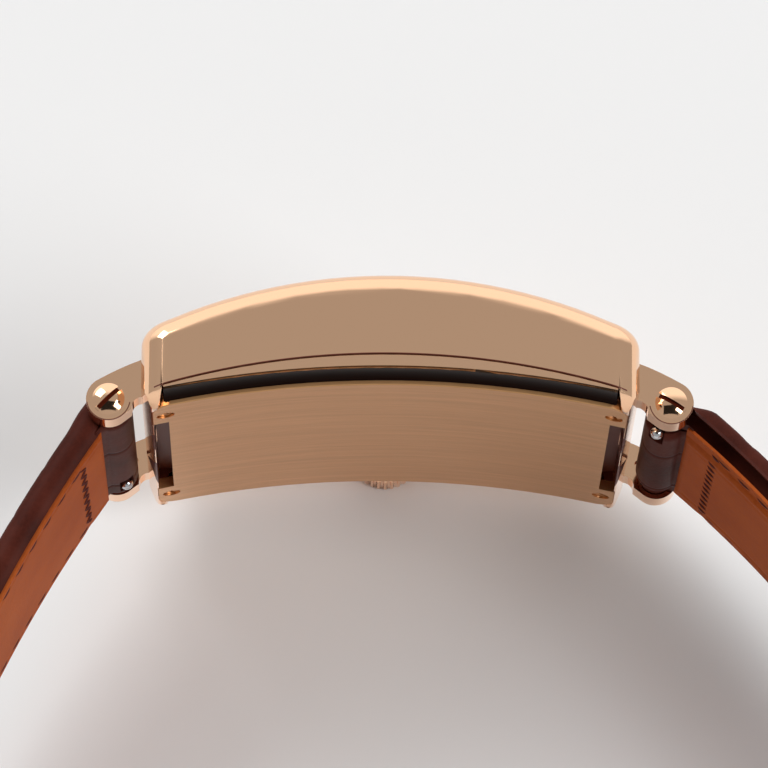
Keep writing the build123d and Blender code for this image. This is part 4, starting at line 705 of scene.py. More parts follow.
class StrapSheet:  # a sheet with two faces along a strap half, with rolled edges and real openings
    edgeRound = strapLook["edgeRound"]
    inset = 0.0
    rimSteps, columnCount, columnGap = 7, 89, 0.008

    def __init__(self, key):
        self.key = key
        self.half = strapLook[key]
        self.length, self.rise = self.half["length"], self.half["rise"]
        self.openings = []  # first row, last row and the two across places of each slot
        self.layOut()

    def finishLine(self, outer, inner, along):  # the two faces in side view, row by row
        self.outer, self.inner, self.along = outer, inner, along
        steps = np.linalg.norm(np.diff(outer * 0.8 + inner * 0.2, axis=0), axis=1)
        self.arc = np.concatenate([[0.0], np.cumsum(steps)])
        self.width = strapWidth(self.key, along, self.inset)

    def openForTongue(self, along):  # the buckle's tongue stands in a slot at the end of the short half
        startRow = int(np.argmin(np.abs(along - (self.length - strapLook["tongueLong"]))))
        self.openings.append((startRow, len(along) - 1, -strapLook["tongueHalf"], strapLook["tongueHalf"]))

    def arcAt(self, along):
        rows = slice(*self.bandRows)
        return np.interp(along, self.along[rows], self.arc[rows])

    def read(self, arc, values):
        return np.interp(arc, self.arc, values)

    def faces(self, arc):
        top, low = ([self.read(arc, line[:, part]) for part in (0, 1)] for line in (self.outer, self.inner))
        return np.stack(top, axis=-1), np.stack(low, axis=-1)

    def edgeAway(self, along, across):  # how far a place is from the sheet's edge
        away = strapWidth(self.key, along, self.inset) - np.abs(across)
        if self.key == "6":
            endZ = strapCurve("6", self.length, self.rise)[1]
            placeZ = strapCurve("6", along, self.rise)[..., 1]
            fromMiddle = np.hypot(across, np.maximum(endZ + tipRadius - placeZ, 0))
            away = np.minimum(away, tipRadius - self.inset - fromMiddle)
        return away

    def columns(self):  # shares of the half width inside the rolled edge, the slots' sides among them
        self.slotShares = []
        for first, last, low, high in self.openings:
            flat = float(self.width[first]) - self.edgeRound
            self.slotShares.append((low / flat, high / flat))
        special = {share for pair in self.slotShares for share in pair}
        kept = [-1.0]
        for mark in sorted(set(np.linspace(-1, 1, self.columnCount)[1:]) | special):
            if mark - kept[-1] < self.columnGap:
                kept[-1] = mark if mark in special else kept[-1]
            else:
                kept.append(mark)
        return np.array(kept)

    def build(self, holes):
        # rows along the strap, columns across it at flat * mark, and at flat + edge * sin t in the rims
        marks = self.columns()
        edge = np.minimum(self.edgeRound, 0.5 * self.width)[:, None]
        flat = self.width[:, None] - edge
        rim = flat + edge * np.sin(np.linspace(0, math.pi / 2, self.rimSteps + 1))[1:]
        across = np.concatenate([-rim[:, ::-1], flat * marks, rim], axis=1)
        count, wide = across.shape
        arcs = np.repeat(self.arc[:, None], wide, axis=1)
        top, low = self.point(arcs, across, True), self.point(arcs, across, False)
        vertices = [top.reshape(-1, 3), low[:, 1:-1].reshape(-1, 3)]
        upper, lower = numbers(count, wide), numbers(count, wide)  # the faces share their edge's points
        lower[:, 1:-1] = numbers(count, wide - 2, count * wide)
        isOpen = np.zeros((count - 1, wide - 1), dtype=bool)
        for (first, last, _, _), shares in zip(self.openings, self.slotShares):
            left, right = [int(np.argmin(np.abs(marks - share))) + self.rimSteps for share in shares]
            isOpen[first:last, left:right] = True
        solid, patches = ~isOpen, []
        for hole in holes:
            arc = float(self.arcAt(hole))
            inRows = np.where(np.abs(self.arc - arc) < strapLook["patchHalf"])[0]
            inColumns = np.where(np.abs(across[inRows[0]]) < strapLook["patchHalf"])[0]
            i0, i1, j0, j1 = inRows[0], inRows[-1], inColumns[0], inColumns[-1]
            solid[i0:i1, j0:j1] = False
            loop = [(i0, j) for j in range(j0, j1)] + [(i, j1) for i in range(i0, i1)]
            loop += [(i1, j) for j in range(j1, j0, -1)] + [(i, j0) for i in range(i1, i0, -1)]
            patches.append((arc, loop))
        faces = quads(upper)[solid].tolist() + quads(lower)[solid].tolist()

        def wall(i, j, stepI, stepJ):  # joins the two faces along the edges from (i, j)
            k, m = i + stepI, j + stepJ
            faces.extend(np.stack([upper[i, j], upper[k, m], lower[k, m], lower[i, j]], axis=-1).tolist())

        i, j = np.where(isOpen[1:] != isOpen[:-1])
        wall(i + 1, j, 0, 1)
        i, j = np.where(isOpen[:, 1:] != isOpen[:, :-1])
        wall(i, j + 1, 1, 0)
        for end in (0, count - 1):
            if self.width[end] > 0.01:
                j = np.where(~isOpen[min(end, count - 2)])[0]
                wall(np.full_like(j, end), j, 0, 1)
        for arc, loop in patches:
            self.punch(arc, loop, across, upper, lower, vertices, faces)
        return np.concatenate(vertices), faces

    def punch(self, arc, loop, across, upper, lower, vertices, faces):
        # a round hole in a patch: rings lead from the patch's edge on one face through to the other
        places = np.array([[self.arc[i] - arc, across[i, j]] for i, j in loop])
        aim = places / np.linalg.norm(places, axis=1)[:, None]
        hole = strapLook["holeRadius"]
        rings = [(places + aim * strapLook["patchRing"]) / 2, aim * (hole + strapLook["holeLip"]), aim * hole]
        above, below = [[upper[spot] for spot in loop]], [[lower[spot] for spot in loop]]
        for ring, dip in zip(rings, (0.0, 0.0, strapLook["holeDip"])):
            top, low = (self.point(arc + ring[:, 0], ring[:, 1], side) for side in (True, False))
            for rows, near, far in ((above, top, low), (below, low, top)):
                rows.append(sum(len(points) for points in vertices) + np.arange(len(loop)))
                vertices.append(near * (1 - dip) + far * dip)
        rows = np.array(above + below[::-1])
        faces.extend(quads(np.concatenate([rows, rows[:, :1]], axis=1)).reshape(-1, 4).tolist())


class OuterLeather(StrapSheet):  # wraps the lug bar and, on the short half, the buckle's bar
    flapRows, beforeSlot, slotRows, afterSlot, buckleRows = 2, 12, 9, 30, 34
    shortRows, longRows, tipRows = 190, 280, 46

    def layOut(self):
        key, half = self.key, self.half
        loopOuter, loopInner = strapLook["loopOuter"], strapLook["loopInner"]
        ahead, outward = strapFrame(key, 0.0)
        bar = np.array([half["side"] * strapBarX, 0.0])
        faceOut, faceIn = self.rise + strapLook["outerFace"], self.rise + strapLook["innerFace"]
        flapOut, flapIn = self.rise + strapLook["flapFace"], faceIn + strapLook["flapGap"]
        # the slot for the knob is centred on the lean of the knob
        lean = math.radians(half["lean"])
        knobOut = np.array([-half["side"] * math.sin(lean), -math.cos(lean)])
        knobTurn = math.degrees(math.atan2(float(knobOut @ ahead), float(knobOut @ outward))) % 360 - 360
        slotTurn = math.degrees(math.asin(strapLook["knobHalf"] / loopOuter))
        under = self.rise + strapLook["liningFace"] + strapLook["wrapGap"]
        endTurn = -360 + math.degrees(math.acos(under / loopOuter))
        turns = np.concatenate([
            np.linspace(endTurn, knobTurn - slotTurn, self.beforeSlot),
            np.linspace(knobTurn - slotTurn, knobTurn + slotTurn, self.slotRows)[1:],
            np.linspace(knobTurn + slotTurn, strapLook["loopLast"], self.afterSlot)[1:],
        ])
        slotRow = self.flapRows + self.beforeSlot - 1
        slotSides = sorted(half["knob"] * reach for reach in strapLook["knobSides"])
        self.openings.append((slotRow, slotRow + self.slotRows - 1, *slotSides))
        outer = [strapCurve(key, strapLook["flapOuter"], flapOut),
                 loopArc(bar, ahead, outward, loopOuter, turns)]
        inner = [strapCurve(key, strapLook["flapInner"], flapIn),
                 loopArc(bar, ahead, outward, loopInner, turns)]
        places = self.bandPlaces()
        fade = 1 - smoothStep(places / strapLook["loopBlend"])
        topHeights = faceOut + (loopOuter - faceOut) * fade
        padEnd = 1 - smoothStep((places - half["padFlat"]) / half["padFade"])
        topHeights = topHeights + half["pad"] * smoothStep(places / strapLook["padRise"]) * padEnd
        fade = 1 - smoothStep(places / strapLook["innerBlend"])
        lowHeights = faceIn + (loopInner - faceIn) * fade
        lipShare = smoothStep((places - strapLook["lipStart"]) / strapLook["lipBlend"])
        before, after = self.flapRows + len(turns), 0
        if key == "12":
            toEnd = places - self.length
            fade = smoothStep((toEnd + strapLook["loopBlend"]) / strapLook["loopBlend"])
            topHeights = topHeights + (self.rise + strapLook["buckleOuter"] - faceOut) * fade
            fade = smoothStep((toEnd + strapLook["innerBlend"]) / strapLook["innerBlend"])
            lowHeights = lowHeights + (self.rise + strapLook["buckleInner"] - faceIn) * fade
            lipShare = lipShare * (1 - smoothStep((toEnd + strapLook["lipEnd"]) / strapLook["lipEndBlend"]))
        outer.append(strapCurve(key, places, topHeights))
        inner.append(strapCurve(key, places, lowHeights))
        if key == "12":
            ahead, outward = strapFrame(key, self.length)
            centre = strapCurve(key, self.length, self.rise)
            turns = np.linspace(*strapLook["buckleTurns"], self.buckleRows)
            flapEnd = [self.length - strapLook["buckleFlap"]]
            outer += [loopArc(centre, ahead, outward, strapLook["buckleOuter"], turns),
                      strapCurve(key, flapEnd, flapOut)]
            inner += [loopArc(centre, ahead, outward, strapLook["buckleInner"], turns),
                      strapCurve(key, flapEnd, flapIn)]
            after = len(turns) + 1
        flatShare = smoothStep((places - strapLook["reliefStart"]) / strapLook["reliefBlend"])
        self.lip = np.concatenate([np.zeros(before), lipShare, np.zeros(after)])
        self.flatShare = np.concatenate([np.zeros(before), flatShare, np.zeros(after)])
        self.bandRows = (before, before + len(places))
        along = np.concatenate([np.zeros(before), places, np.full(after, self.length)])
        self.finishLine(np.concatenate(outer), np.concatenate(inner), along)
        if key == "12":
            self.openForTongue(along)

    def bandPlaces(self):
        first = strapLook["firstRow"]
        if self.key == "12":
            return np.linspace(first, self.length - first, self.shortRows)
        straight = np.linspace(first, self.length - strapLook["tipLong"], self.longRows)
        tip = self.length - strapLook["tipLong"] * np.cos(np.linspace(0, math.pi / 2, self.tipRows))[1:]
        return np.concatenate([straight, tip])

    def relief(self, arc, across, toEdge, flat):  # scales, folds of the loop and the groove of the stitching
        rim = smoothStep(toEdge / strapLook["rimFade"])
        inner = smoothStep((toEdge - strapLook["innerFrom"]) / strapLook["innerFade"])
        share = flat * (strapLook["rimShare"] * rim + (1 - strapLook["rimShare"]) * inner)
        relief = scaleRelief(arc, across, self.half["seed"]) * strapLook["scaleDeep"] * share
        for fold in leatherLook["folds"]:
            dent = np.exp(-((across - fold) / strapLook["foldWide"]) ** 2)
            relief = relief - strapLook["foldDeep"] * (1 - flat) * dent
        row = np.exp(-((toEdge - strapLook["stitchInset"]) / strapLook["stitchWide"]) ** 2)
        return relief - strapLook["stitchSink"] * row * flat

    def point(self, arc, across, upper):
        # middle of the sheet + half its thickness * (sqrt(1 - inset^2) + relief), inset being 1 at the edge
        arc, across = np.broadcast_arrays(np.asarray(arc, dtype=float), np.asarray(across, dtype=float))
        along = self.read(arc, self.along)
        top, low = self.faces(arc)
        innerFace = strapLook["innerFace"]
        lipReach = (innerFace - strapLook["lipFace"]) / (strapLook["outerFace"] - innerFace)
        sideAway = strapWidth(self.key, along) - np.abs(across)
        lip = smoothStep((strapLook["lipWidth"] - sideAway) / strapLook["lipSlope"]) * lipReach
        low = low - (top - low) * (self.read(arc, self.lip) * lip)[..., None]
        toEdge = self.edgeAway(along, across)
        inset = 1 - np.clip(toEdge / self.edgeRound, 0, 1)
        share = np.sqrt(np.maximum(1 - inset ** 2, 0))
        reach = (top - low) / 2
        if upper:
            thick = np.maximum(np.linalg.norm(reach, axis=-1), 0.1)
            share = share + self.relief(arc, across, toEdge, self.read(arc, self.flatShare)) / thick
        else:
            share = -share
        spot = (top + low) / 2 + reach * share[..., None]
        return np.stack([spot[..., 0], across, spot[..., 1]], axis=-1)


class LiningLeather(StrapSheet):  # lies inside the lip of the outer leather
    edgeRound = strapLook["liningRound"]
    inset = strapLook["liningInset"]
    shortRows, longRows, tipRows = 190, 270, 40

    def layOut(self):
        start, tipLong = strapLook["liningStart"], strapLook["tipLong"]
        if self.key == "12":
            places = np.linspace(start, self.length - strapLook["liningEnd"], self.shortRows)
            self.openForTongue(places)
        else:
            tip = (tipLong - self.inset) * np.cos(np.linspace(0, math.pi / 2, self.tipRows))[1:]
            places = np.linspace(start, self.length - tipLong, self.longRows)
            places = np.concatenate([places, self.length - self.inset - tip])
        self.bandRows = (0, len(places))
        outer = strapCurve(self.key, places, self.rise + strapLook["liningTop"])
        inner = strapCurve(self.key, places, self.rise + strapLook["liningFace"])
        self.finishLine(outer, inner, places)

    def point(self, arc, across, upper):
        # top + (low - top) * (shoulder + (1 - shoulder) sqrt(1 - inset^2) - the stitches' groove)
        arc, across = np.broadcast_arrays(np.asarray(arc, dtype=float), np.asarray(across, dtype=float))
        along = self.read(arc, self.along)
        top, low = self.faces(arc)
        toEdge = np.minimum(self.edgeAway(along, across), along - strapLook["liningStart"])
        inset = 1 - np.clip(toEdge / self.edgeRound, 0, 1)
        shoulder = strapLook["liningShoulder"]
        share = shoulder + (1 - shoulder) * np.sqrt(np.maximum(1 - inset ** 2, 0))
        fromRow = toEdge + self.inset - strapLook["stitchInset"]
        row = np.exp(-(fromRow / strapLook["liningStitchWide"]) ** 2)
        cross = np.exp(-((along - crossStitch["along"]) / crossStitch["wide"]) ** 2) * crossStitch["deep"]
        thick = strapLook["liningTop"] - strapLook["liningFace"]
        sink = strapLook["stitchSink"] * np.maximum(row, cross) / thick
        spot = top if upper else top + (low - top) * (share - sink)[..., None]
        return np.stack([spot[..., 0], across, spot[..., 1]], axis=-1)


# The edge rows run along both faces, and a row across each half closes its loop.
edgeStitch = {"long": 1.4, "pitch": 2.05, "radius": 0.1, "rise": 0.06, "sunk": 0.04, "start": 5.6,
              "stopShort": {"12": 6.2, "6": 1.2}, "tipLeast": 0.6}
crossStitch = {"along": 4.75, "reach": 0.42, "inset": 1.5, "pitch": 1.9, "slashPitch": 1.22,
               "slashLean": 0.45, "slashEnd": 0.2, "wide": 0.45, "deep": 0.8}


def stitchMesh(name, starts, stops, normals, body):
    # each stitch is a tube of 6 sides and 5 rings from start to stop, arched by rise * (1 - (2t - 1)^2)
    starts, stops, normals = (np.asarray(values, dtype=float) for values in (starts, stops, normals))
    forward = stops - starts
    sideways = np.cross(forward / np.linalg.norm(forward, axis=1)[:, None], normals)
    thick = edgeStitch["radius"] * np.array([0.45, 0.92, 1.0, 0.92, 0.45])
    rings, sides = len(thick), 6
    share = np.linspace(0, 1, rings)[None, :, None]
    turn = (np.arange(sides) * 2 * math.pi / sides)[None, :, None]
    lift = edgeStitch["rise"] * (1 - (2 * share - 1) ** 2) - edgeStitch["sunk"]
    middle = starts[:, None] + forward[:, None] * share + normals[:, None] * lift
    around = normals[:, None] * np.cos(turn) + sideways[:, None] * np.sin(turn)
    points = middle[:, :, None] + around[:, None] * thick[None, :, None, None]
    first = np.arange(len(starts))[:, None, None] * rings * sides
    tube = numbers(rings, sides, closeColumns=True)
    faces = (quads(tube).reshape(1, -1, 4) + first).reshape(-1, 4).tolist()
    faces += (tube[[0, -1], :sides] + first).reshape(-1, sides).tolist()
    return makeMesh(name, points.reshape(-1, 3), faces, thread, body)


def faceRow(sheet, upper, side, key):  # ends and normals of the stitches of one edge row
    finish = strapLook[key]["length"] - edgeStitch["stopShort"][key]
    middles = np.arange(edgeStitch["start"], finish, edgeStitch["pitch"])
    half = edgeStitch["long"] / 2
    if key == "6":  # the row keeps its distance from the rounded tip
        middles = middles[strapWidth("6", middles + half, strapLook["stitchInset"]) > edgeStitch["tipLeast"]]
    ends = []
    for along in (middles - half, middles + half):
        across = side * strapWidth(key, along, strapLook["stitchInset"])
        ends.append(sheet.point(sheet.arcAt(along), across, upper))
    outward = strapFrame(key, middles)[1] * (1 if upper else -1)
    return *ends, np.stack([outward[:, 0], np.zeros(len(middles)), outward[:, 1]], axis=-1)


def crossRow(sheet, key):  # a zigzag on the short half, slanted slashes on the long one
    middle, half = crossStitch["along"], crossStitch["reach"]
    reach = float(strapWidth(key, middle, crossStitch["inset"]))
    if key == "12":
        across = np.arange(-reach, reach + 0.01, crossStitch["pitch"] / 2)
        along = middle + half * np.where(np.arange(len(across)) % 2 == 0, 1.0, -1.0)
        spots = sheet.point(sheet.arcAt(along), across, False)
        starts, stops = spots[:-1], spots[1:]
    else:
        across = np.arange(-reach, reach - crossStitch["slashEnd"], crossStitch["slashPitch"])
        starts = sheet.point(sheet.arcAt(middle - half), across, False)
        stops = sheet.point(sheet.arcAt(middle + half), across + crossStitch["slashLean"], False)
    outward = -strapFrame(key, middle)[1]
    return starts, stops, np.tile([outward[0], 0.0, outward[1]], (len(starts), 1))


for key in ("12", "6"):
    body = f"strap_{key}"
    outer, inner = OuterLeather(key), LiningLeather(key)
    holes = adjustHoles if key == "6" else []
    points, faces = outer.build(holes)
    piece = makeMesh(f"outerLeather{key}", points, faces, leather, body, sharp=50)
    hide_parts(f"strap_{key}_leather")
    points, faces = inner.build(holes)
    piece = makeMesh(f"liningLeather{key}", points, faces, lining, body, sharp=50)
    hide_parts(f"strap_{key}_lining")
    rows = [faceRow(sheet, sheet is outer, side, key) for sheet in (outer, inner) for side in (-1, 1)]
    stitchMesh(f"edgeStitching{key}", *(np.concatenate(part) for part in zip(*rows)), body)
    stitchMesh(f"crossStitching{key}", *crossRow(inner, key), body)
print("straps wrapped, lined and stitched")


# A keeper is a band swept round a rounded rectangle: its section is a pad with rounded edges.
keeperLook = {
    "gap": 0.25,
    "wall": 1.0,
    "long": 5.0,
    "innerHigh": 4.95,
    "strapHigh": 2.1,
    "corner": 0.9,
    "edge": 0.42,
    "grooveDeep": 0.06,
    "grooveWide": 0.16,
    "grooveInset": 0.85,
    "grooveFrom": 0.4,
    "fixed_keeper": 57.0,
    "free_keeper": 44.0,
}


def roundedLoop(halfWide, halfHigh, corner, steps, parts):
    # Middle of a corner + corner * (cos t, sin t), quarter by quarter, with these directions. A
    # straight side over 1 mm long is cut into parts.
    points, aims = [], []
    for quarter, (wide, high) in enumerate(((1, 1), (-1, 1), (-1, -1), (1, -1))):
        turn = np.linspace(0, math.pi / 2, steps) + quarter * math.pi / 2
        aim = np.stack([np.cos(turn), np.sin(turn)], axis=-1)
        points.append(np.array([wide * (halfWide - corner), high * (halfHigh - corner)]) + corner * aim)
        aims.append(aim)
    places = np.concatenate([np.concatenate(points), np.concatenate(aims)], axis=1)
    following = np.roll(places, -1, axis=0)
    rows = []
    for near, far in zip(places, following):
        count = parts if np.linalg.norm((far - near)[:2]) > 1 else 1
        rows.append(near + (far - near) * np.arange(count)[:, None] / count)
    rows = np.concatenate(rows)
    return rows[:, :2], rows[:, 2:]


def keeperBand(name):
    along, wall, halfLong = keeperLook[name], keeperLook["wall"], keeperLook["long"] / 2
    ahead, outward = strapFrame("12", along)
    middle = (keeperLook["innerHigh"] - keeperLook["strapHigh"]) / 2 - keeperLook["gap"]
    centre = strapCurve("12", along, strapLook["12"]["rise"] + middle)
    halfWide = float(strapWidth("12", along)) + keeperLook["gap"] + wall / 2
    halfHigh = (keeperLook["innerHigh"] + wall) / 2
    path, aim = roundedLoop(halfWide, halfHigh, keeperLook["corner"], steps=9, parts=12)
    section, _ = roundedLoop(halfLong, wall / 2, keeperLook["edge"], steps=5, parts=8)
    # a fine groove runs along both sides of the outer face
    fromGroove = np.abs(section[:, 0]) - (halfLong - keeperLook["grooveInset"])
    groove = keeperLook["grooveDeep"] * np.exp(-(fromGroove / keeperLook["grooveWide"]) ** 2)
    height = section[:, 1] - groove * (section[:, 1] > keeperLook["grooveFrom"])
    across = path[:, :1] + aim[:, :1] * height
    out = path[:, 1:] + aim[:, 1:] * height
    spotX = centre[0] + outward[0] * out + ahead[0] * section[:, 0]
    spotZ = centre[1] + outward[1] * out + ahead[1] * section[:, 0]
    points = np.stack([spotX, across, spotZ], axis=-1).reshape(-1, 3)
    faces = quads(numbers(*across.shape, closeRows=True, closeColumns=True)).reshape(-1, 4).tolist()
    body = "strap_12" if name == "fixed_keeper" else "free_keeper"
    piece = makeMesh(name.replace("_k", "K"), points, faces, leather, body, sharp=60)
    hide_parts(name)


keeperBand("fixed_keeper")
keeperBand("free_keeper")
print("keepers made")


# Domed lug screws: z = sqrt(R^2 - u^2 - v^2) - (R - dome) on the head, and a straight slot where
# |u| < slotHalf. Each slot is turned by its own angle, as in the photo.
lugScrew = {
    "head": 1.2,
    "dome": 0.36,
    "slotHalf": 0.17,
    "slotDeep": 0.3,
    "slotEdge": 0.004,
    "rim": 0.03,
    "rimStep": 0.001,
    "faceY": 12.05,
    "shank": 0.6,
    "shankLong": 0.9,
    "shankTip": 0.02,
    "turns": {(-1, -1): 44.6, (1, -1): -30.4, (-1, 1): 18.0, (1, 1): -57.0},
}


def lugScrewHeads():
    head, slot, dome = lugScrew["head"], lugScrew["slotHalf"], lugScrew["dome"]
    sphere = (head ** 2 + dome ** 2) / (2 * dome)
    side = head * np.sin(np.linspace(math.asin(slot / head), math.pi / 2, 14))
    inSlot = slot - lugScrew["slotEdge"]
    lines = np.concatenate([-side[::-1], [-inSlot], np.linspace(-slot, slot, 5)[1:-1], [inSlot], side])
    share = np.sin(np.linspace(-math.pi / 2, math.pi / 2, 31))
    u = np.repeat(lines[:, None], len(share), axis=1)
    v = np.sqrt(np.maximum(head ** 2 - u ** 2, 0)) * share
    height = np.sqrt(np.maximum(sphere ** 2 - u ** 2 - v ** 2, 0)) - (sphere - dome)
    height = np.where(np.abs(u) < slot, dome - lugScrew["slotDeep"], height)
    around = np.linspace(0, 2 * math.pi, 41)[:-1]
    shank, rim, long = lugScrew["shank"], lugScrew["rim"], lugScrew["shankLong"]
    outline = [(head - lugScrew["rimStep"], 0.0), (head, -rim), (shank, -rim), (shank, -long)]
    profile = outline + [(lugScrew["shankTip"], -long)]
    reach, depth = np.array(profile).T[:, :, None]
    shankX, shankZ = reach * np.cos(around), reach * np.sin(around)
    shankOut = np.broadcast_to(depth, shankX.shape)
    points, faces, first = [], [], 0
    for (sideX, sideY), degrees in lugScrew["turns"].items():
        turn = math.radians(degrees)  # between the slot and the watch's x
        x = v * math.cos(turn) - u * math.sin(turn)
        z = v * math.sin(turn) + u * math.cos(turn)
        for spotX, spotZ, out, closed in ((x, z, height, False), (shankX, shankZ, shankOut, True)):
            spots = [sideX * strapBarX + spotX, sideY * (lugScrew["faceY"] + out), spotZ]
            points.append(np.stack(spots, axis=-1).reshape(-1, 3))
            grid = numbers(*spotX.shape, first, closeColumns=closed)
            faces += quads(grid).reshape(-1, 4).tolist()
            first += spotX.size
        faces.append(grid[-1, :-1].tolist())  # the shank's end
    piece = makeMesh("lugScrewHeads", np.concatenate(points), faces, goldScrew, "case", sharp=28)
    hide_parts("lug_screws")


lugScrewHeads()
print("lug screws made")


# Printed numbers and tracks lie on the arched dial: z = top - (R - sqrt(R^2 - x^2)).
dialPrint = {
    "top": 6.6,
    "arch": 60.0,
    "thick": 0.03,
    "number": (7.9, 6.4),
    "numberHigh": 2.5,
    "track": (11.75, 10.15),
    "tickLong": 0.42,
    "tickWide": (0.07, 0.16),
    "secondsRadius": 2.35,
    "secondsLong": (0.26, 0.5),
    "secondsWide": (0.05, 0.09),
}


def dialZ(x):
    return dialPrint["top"] - dialPrint["arch"] + np.sqrt(dialPrint["arch"] ** 2 - np.asarray(x) ** 2)


def onRectangle(aim, halfX, halfY):  # where a line from the middle at an angle leaves a rectangle
    alongX = halfX / max(abs(math.cos(aim)), 0.01)
    alongY = halfY / max(abs(math.sin(aim)), 0.01)
    reach = min(alongX, alongY)
    return reach * math.cos(aim), reach * math.sin(aim), alongX < alongY


def printTick(points, faces, x, y, turn, long, wide):  # a thin box lying on the dial
    base = len(points)
    for along, across in ((-1, -1), (1, -1), (1, 1), (-1, 1)):
        spotX = x + along * long / 2 * math.cos(turn) - across * wide / 2 * math.sin(turn)
        spotY = y + along * long / 2 * math.sin(turn) + across * wide / 2 * math.cos(turn)
        height = float(dialZ(spotX))
        points.append((spotX, spotY, height - dialPrint["thick"]))
        points.append((spotX, spotY, height + dialPrint["thick"]))
    for a, b in ((0, 1), (1, 2), (2, 3), (3, 0)):
        faces.append((base + 2 * a, base + 2 * b, base + 2 * b + 1, base + 2 * a + 1))
    faces += [(base, base + 2, base + 4, base + 6), (base + 1, base + 3, base + 5, base + 7)]


def printNumber(points, faces, hour):
    curve = bpy.data.curves.new("number", "FONT")
    curve.body = str(hour)
    curve.size = dialPrint["numberHigh"]
    curve.align_x = "CENTER"
    curve.align_y = "CENTER"
    curve.extrude = dialPrint["thick"]
    curve.resolution_u = 6
    holder = bpy.data.objects.new("number", curve)
    mesh = bpy.data.meshes.new_from_object(holder)
    flat = np.empty(len(mesh.vertices) * 3)
    mesh.vertices.foreach_get("co", flat)
    flat = flat.reshape(-1, 3)
    middleX, middleY, _ = onRectangle(math.radians(180 - 30 * hour), *dialPrint["number"])
    x, y = middleX - flat[:, 1], middleY + flat[:, 0]
    base = len(points)
    points += np.stack([x, y, dialZ(x) + flat[:, 2]], axis=-1).tolist()
    faces += [tuple(base + corner for corner in polygon.vertices) for polygon in mesh.polygons]
    bpy.data.objects.remove(holder)
    bpy.data.curves.remove(curve)
    bpy.data.meshes.remove(mesh)


def printDial():
    points, faces = [], []
    for minute in range(60):
        x, y, atEnd = onRectangle(math.radians(180 - 6 * minute), *dialPrint["track"])
        wide = dialPrint["tickWide"][minute % 5 == 0]
        printTick(points, faces, x, y, 0.0 if atEnd else math.pi / 2, dialPrint["tickLong"], wide)
    fourth = (np.array(jointNamed["fourth_turn"]["pos_m"]) - watchOrigin) / mm
    for tick in range(60):
        aim = math.radians(6 * tick)
        x = float(fourth @ watchX) + dialPrint["secondsRadius"] * math.cos(aim)
        y = float(fourth @ watchY) + dialPrint["secondsRadius"] * math.sin(aim)
        long, wide = dialPrint["secondsLong"][tick % 5 == 0], dialPrint["secondsWide"][tick % 5 == 0]
        printTick(points, faces, x, y, aim, long, wide)
    for hour in range(1, 13):
        if hour != 6:  # the small seconds are there
            printNumber(points, faces, hour)
    makeMesh("dialNumbers", points, faces, printInk, "case", smooth=False)


printDial()
print("dial printed")


stageLook = {
    "floorSize": 4.0,
    "floorColour": linear(237, 237, 237),
    "lampsAim": (0.0, 0.0, 0.02),
    "leftPower": 11.0,
    "leftSize": 0.9,
    "leftPlace": (-0.95, 0.95, 1.34),
    "rightPower": 15.0,
    "rightSize": 0.9,
    "rightPlace": (1.13, -0.46, 1.46),
    "skyAbove": 0.42,
    "skyBehind": 1.15,
    "behindFrom": 0.3,
    "behindFade": 0.3,
    "behindSoft": 0.2,
    "skyBefore": 0.45,
    "beforeFrom": 0.1,
    "beforeFade": 0.4,
    "darkCard": (0.48, -0.64, -0.1),
    "cardLight": 0.04,
}


def makeFloor():
    half = stageLook["floorSize"] / 2
    mesh = bpy.data.meshes.new("studioFloor")
    corners = [(-half, -half, 0), (half, -half, 0), (half, half, 0), (-half, half, 0)]
    mesh.from_pydata(corners, [], [(0, 1, 2, 3)])
    finish = Finish("floorPaper", stageLook["floorColour"], Roughness=0.75)
    mesh.materials.append(finish.material)
    newObject("studioFloor", mesh)


def makeLight(side):
    light = bpy.data.lights.new(side + "Light", "AREA")
    light.energy = stageLook[side + "Power"]
    light.size = stageLook[side + "Size"]
    place = Vector(stageLook[side + "Place"])
    lamp = newObject(side + "Light", light)
    lamp.location = place
    lamp.rotation_euler = (Vector(stageLook["lampsAim"]) - place).to_track_quat("-Z", "Y").to_euler()


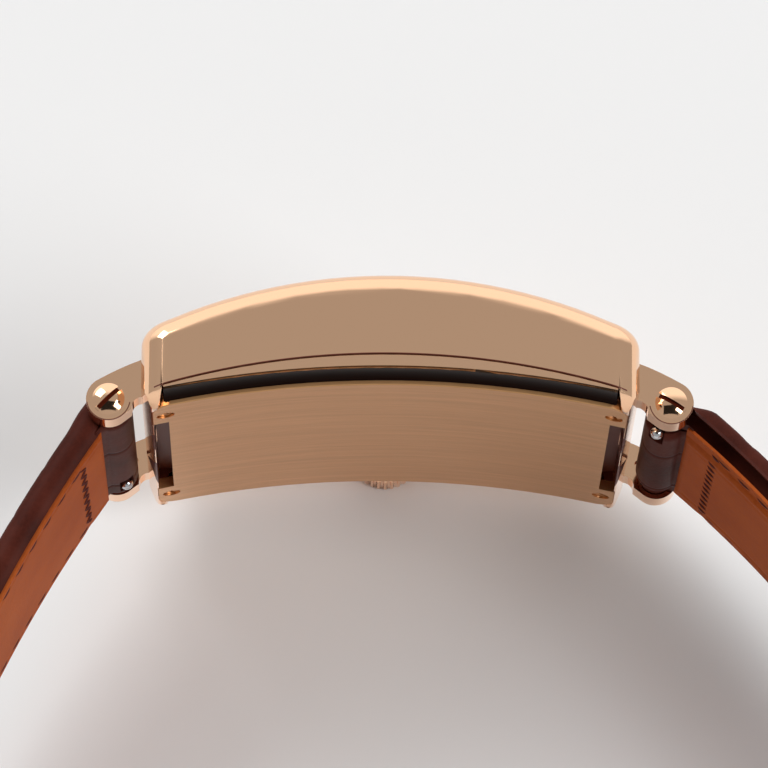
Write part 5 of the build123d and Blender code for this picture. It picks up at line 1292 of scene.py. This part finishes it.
def makeWorld():  # a pale sky that is brighter behind the watch than in front of it
    world = bpy.data.worlds.new("studioWorld")
    sky = NodeTree(world)
    background = sky.tree.nodes["Background"]
    place = sky.node("TexCoord", out="Generated")
    across, back, height = (sky.node("SeparateXYZ", {0: place}, out=part) for part in range(3))
    behind = (back - stageLook["behindFrom"]) / stageLook["behindFade"]
    behind = behind.maths("SMOOTH_MIN", 1.0, stageLook["behindSoft"]).maths("MAXIMUM", 0.0)
    before = (-1.0 * back - stageLook["beforeFrom"]) / stageLook["beforeFade"]
    before = before.capped().maths("MAXIMUM", 0.0)
    above = stageLook["skyAbove"]
    strength = behind * (stageLook["skyBehind"] - above) + before * (stageLook["skyBefore"] - above) + above
    background.inputs["Color"].default_value = (1.0, 1.0, 1.0, 1.0)
    # a dark card round the lens is seen in polished edges only
    wide, front, rear = stageLook["darkCard"]
    card = (abs(across) < wide) * back.inside(front, rear) * (height > 0)
    strength = strength * (1.0 - card * (1.0 - stageLook["cardLight"]))
    strength.join(background.inputs["Strength"])
    bpy.context.scene.world = world


cameraLook = {  # fitted to the photograph: angles in radians, distances in mm, nearest in metres
    "tilt": math.radians(15.5),
    "swing": 0.0105,
    "roll": 0.0046,
    "distance": 488.45,
    "centreX": -0.325,
    "centreZ": 4.456,
    "focalPixels": 6440.0,
    "imagePixels": 768.0,
    "sensor": 36.0,
    "nearest": 0.02,
}


def makeCamera():
    tilt, swing, roll = cameraLook["tilt"], cameraLook["swing"], cameraLook["roll"]
    right = np.array([math.cos(swing), -math.sin(swing), 0.0])
    forward = np.array([math.sin(swing), math.cos(swing), 0.0])
    upright = np.array([0.0, 0.0, 1.0])
    up = upright * math.cos(tilt) - forward * math.sin(tilt)
    ahead = forward * math.cos(tilt) + upright * math.sin(tilt)
    centre = right * cameraLook["centreX"] + up * cameraLook["centreZ"] - ahead * cameraLook["distance"]
    rolledRight = math.cos(roll) * right + math.sin(roll) * up
    rolledUp = -math.sin(roll) * right + math.cos(roll) * up
    data = bpy.data.cameras.new("photoCamera")
    data.sensor_width = cameraLook["sensor"]
    data.lens = cameraLook["focalPixels"] / cameraLook["imagePixels"] * cameraLook["sensor"]
    data.clip_start = cameraLook["nearest"]
    camera = newObject("photoCamera", data)
    axes = np.array([rolledRight, rolledUp, -ahead]) @ watchTurn
    matrix = Matrix(axes.tolist()).transposed().to_4x4()
    matrix.translation = Vector(inRow(centre))
    camera.matrix_world = matrix
    bpy.context.scene.camera = camera


makeFloor()
for side in ("left", "right"):
    makeLight(side)
makeWorld()
makeCamera()
bpy.context.scene.view_settings.view_transform = "Standard"
print("stage ready")
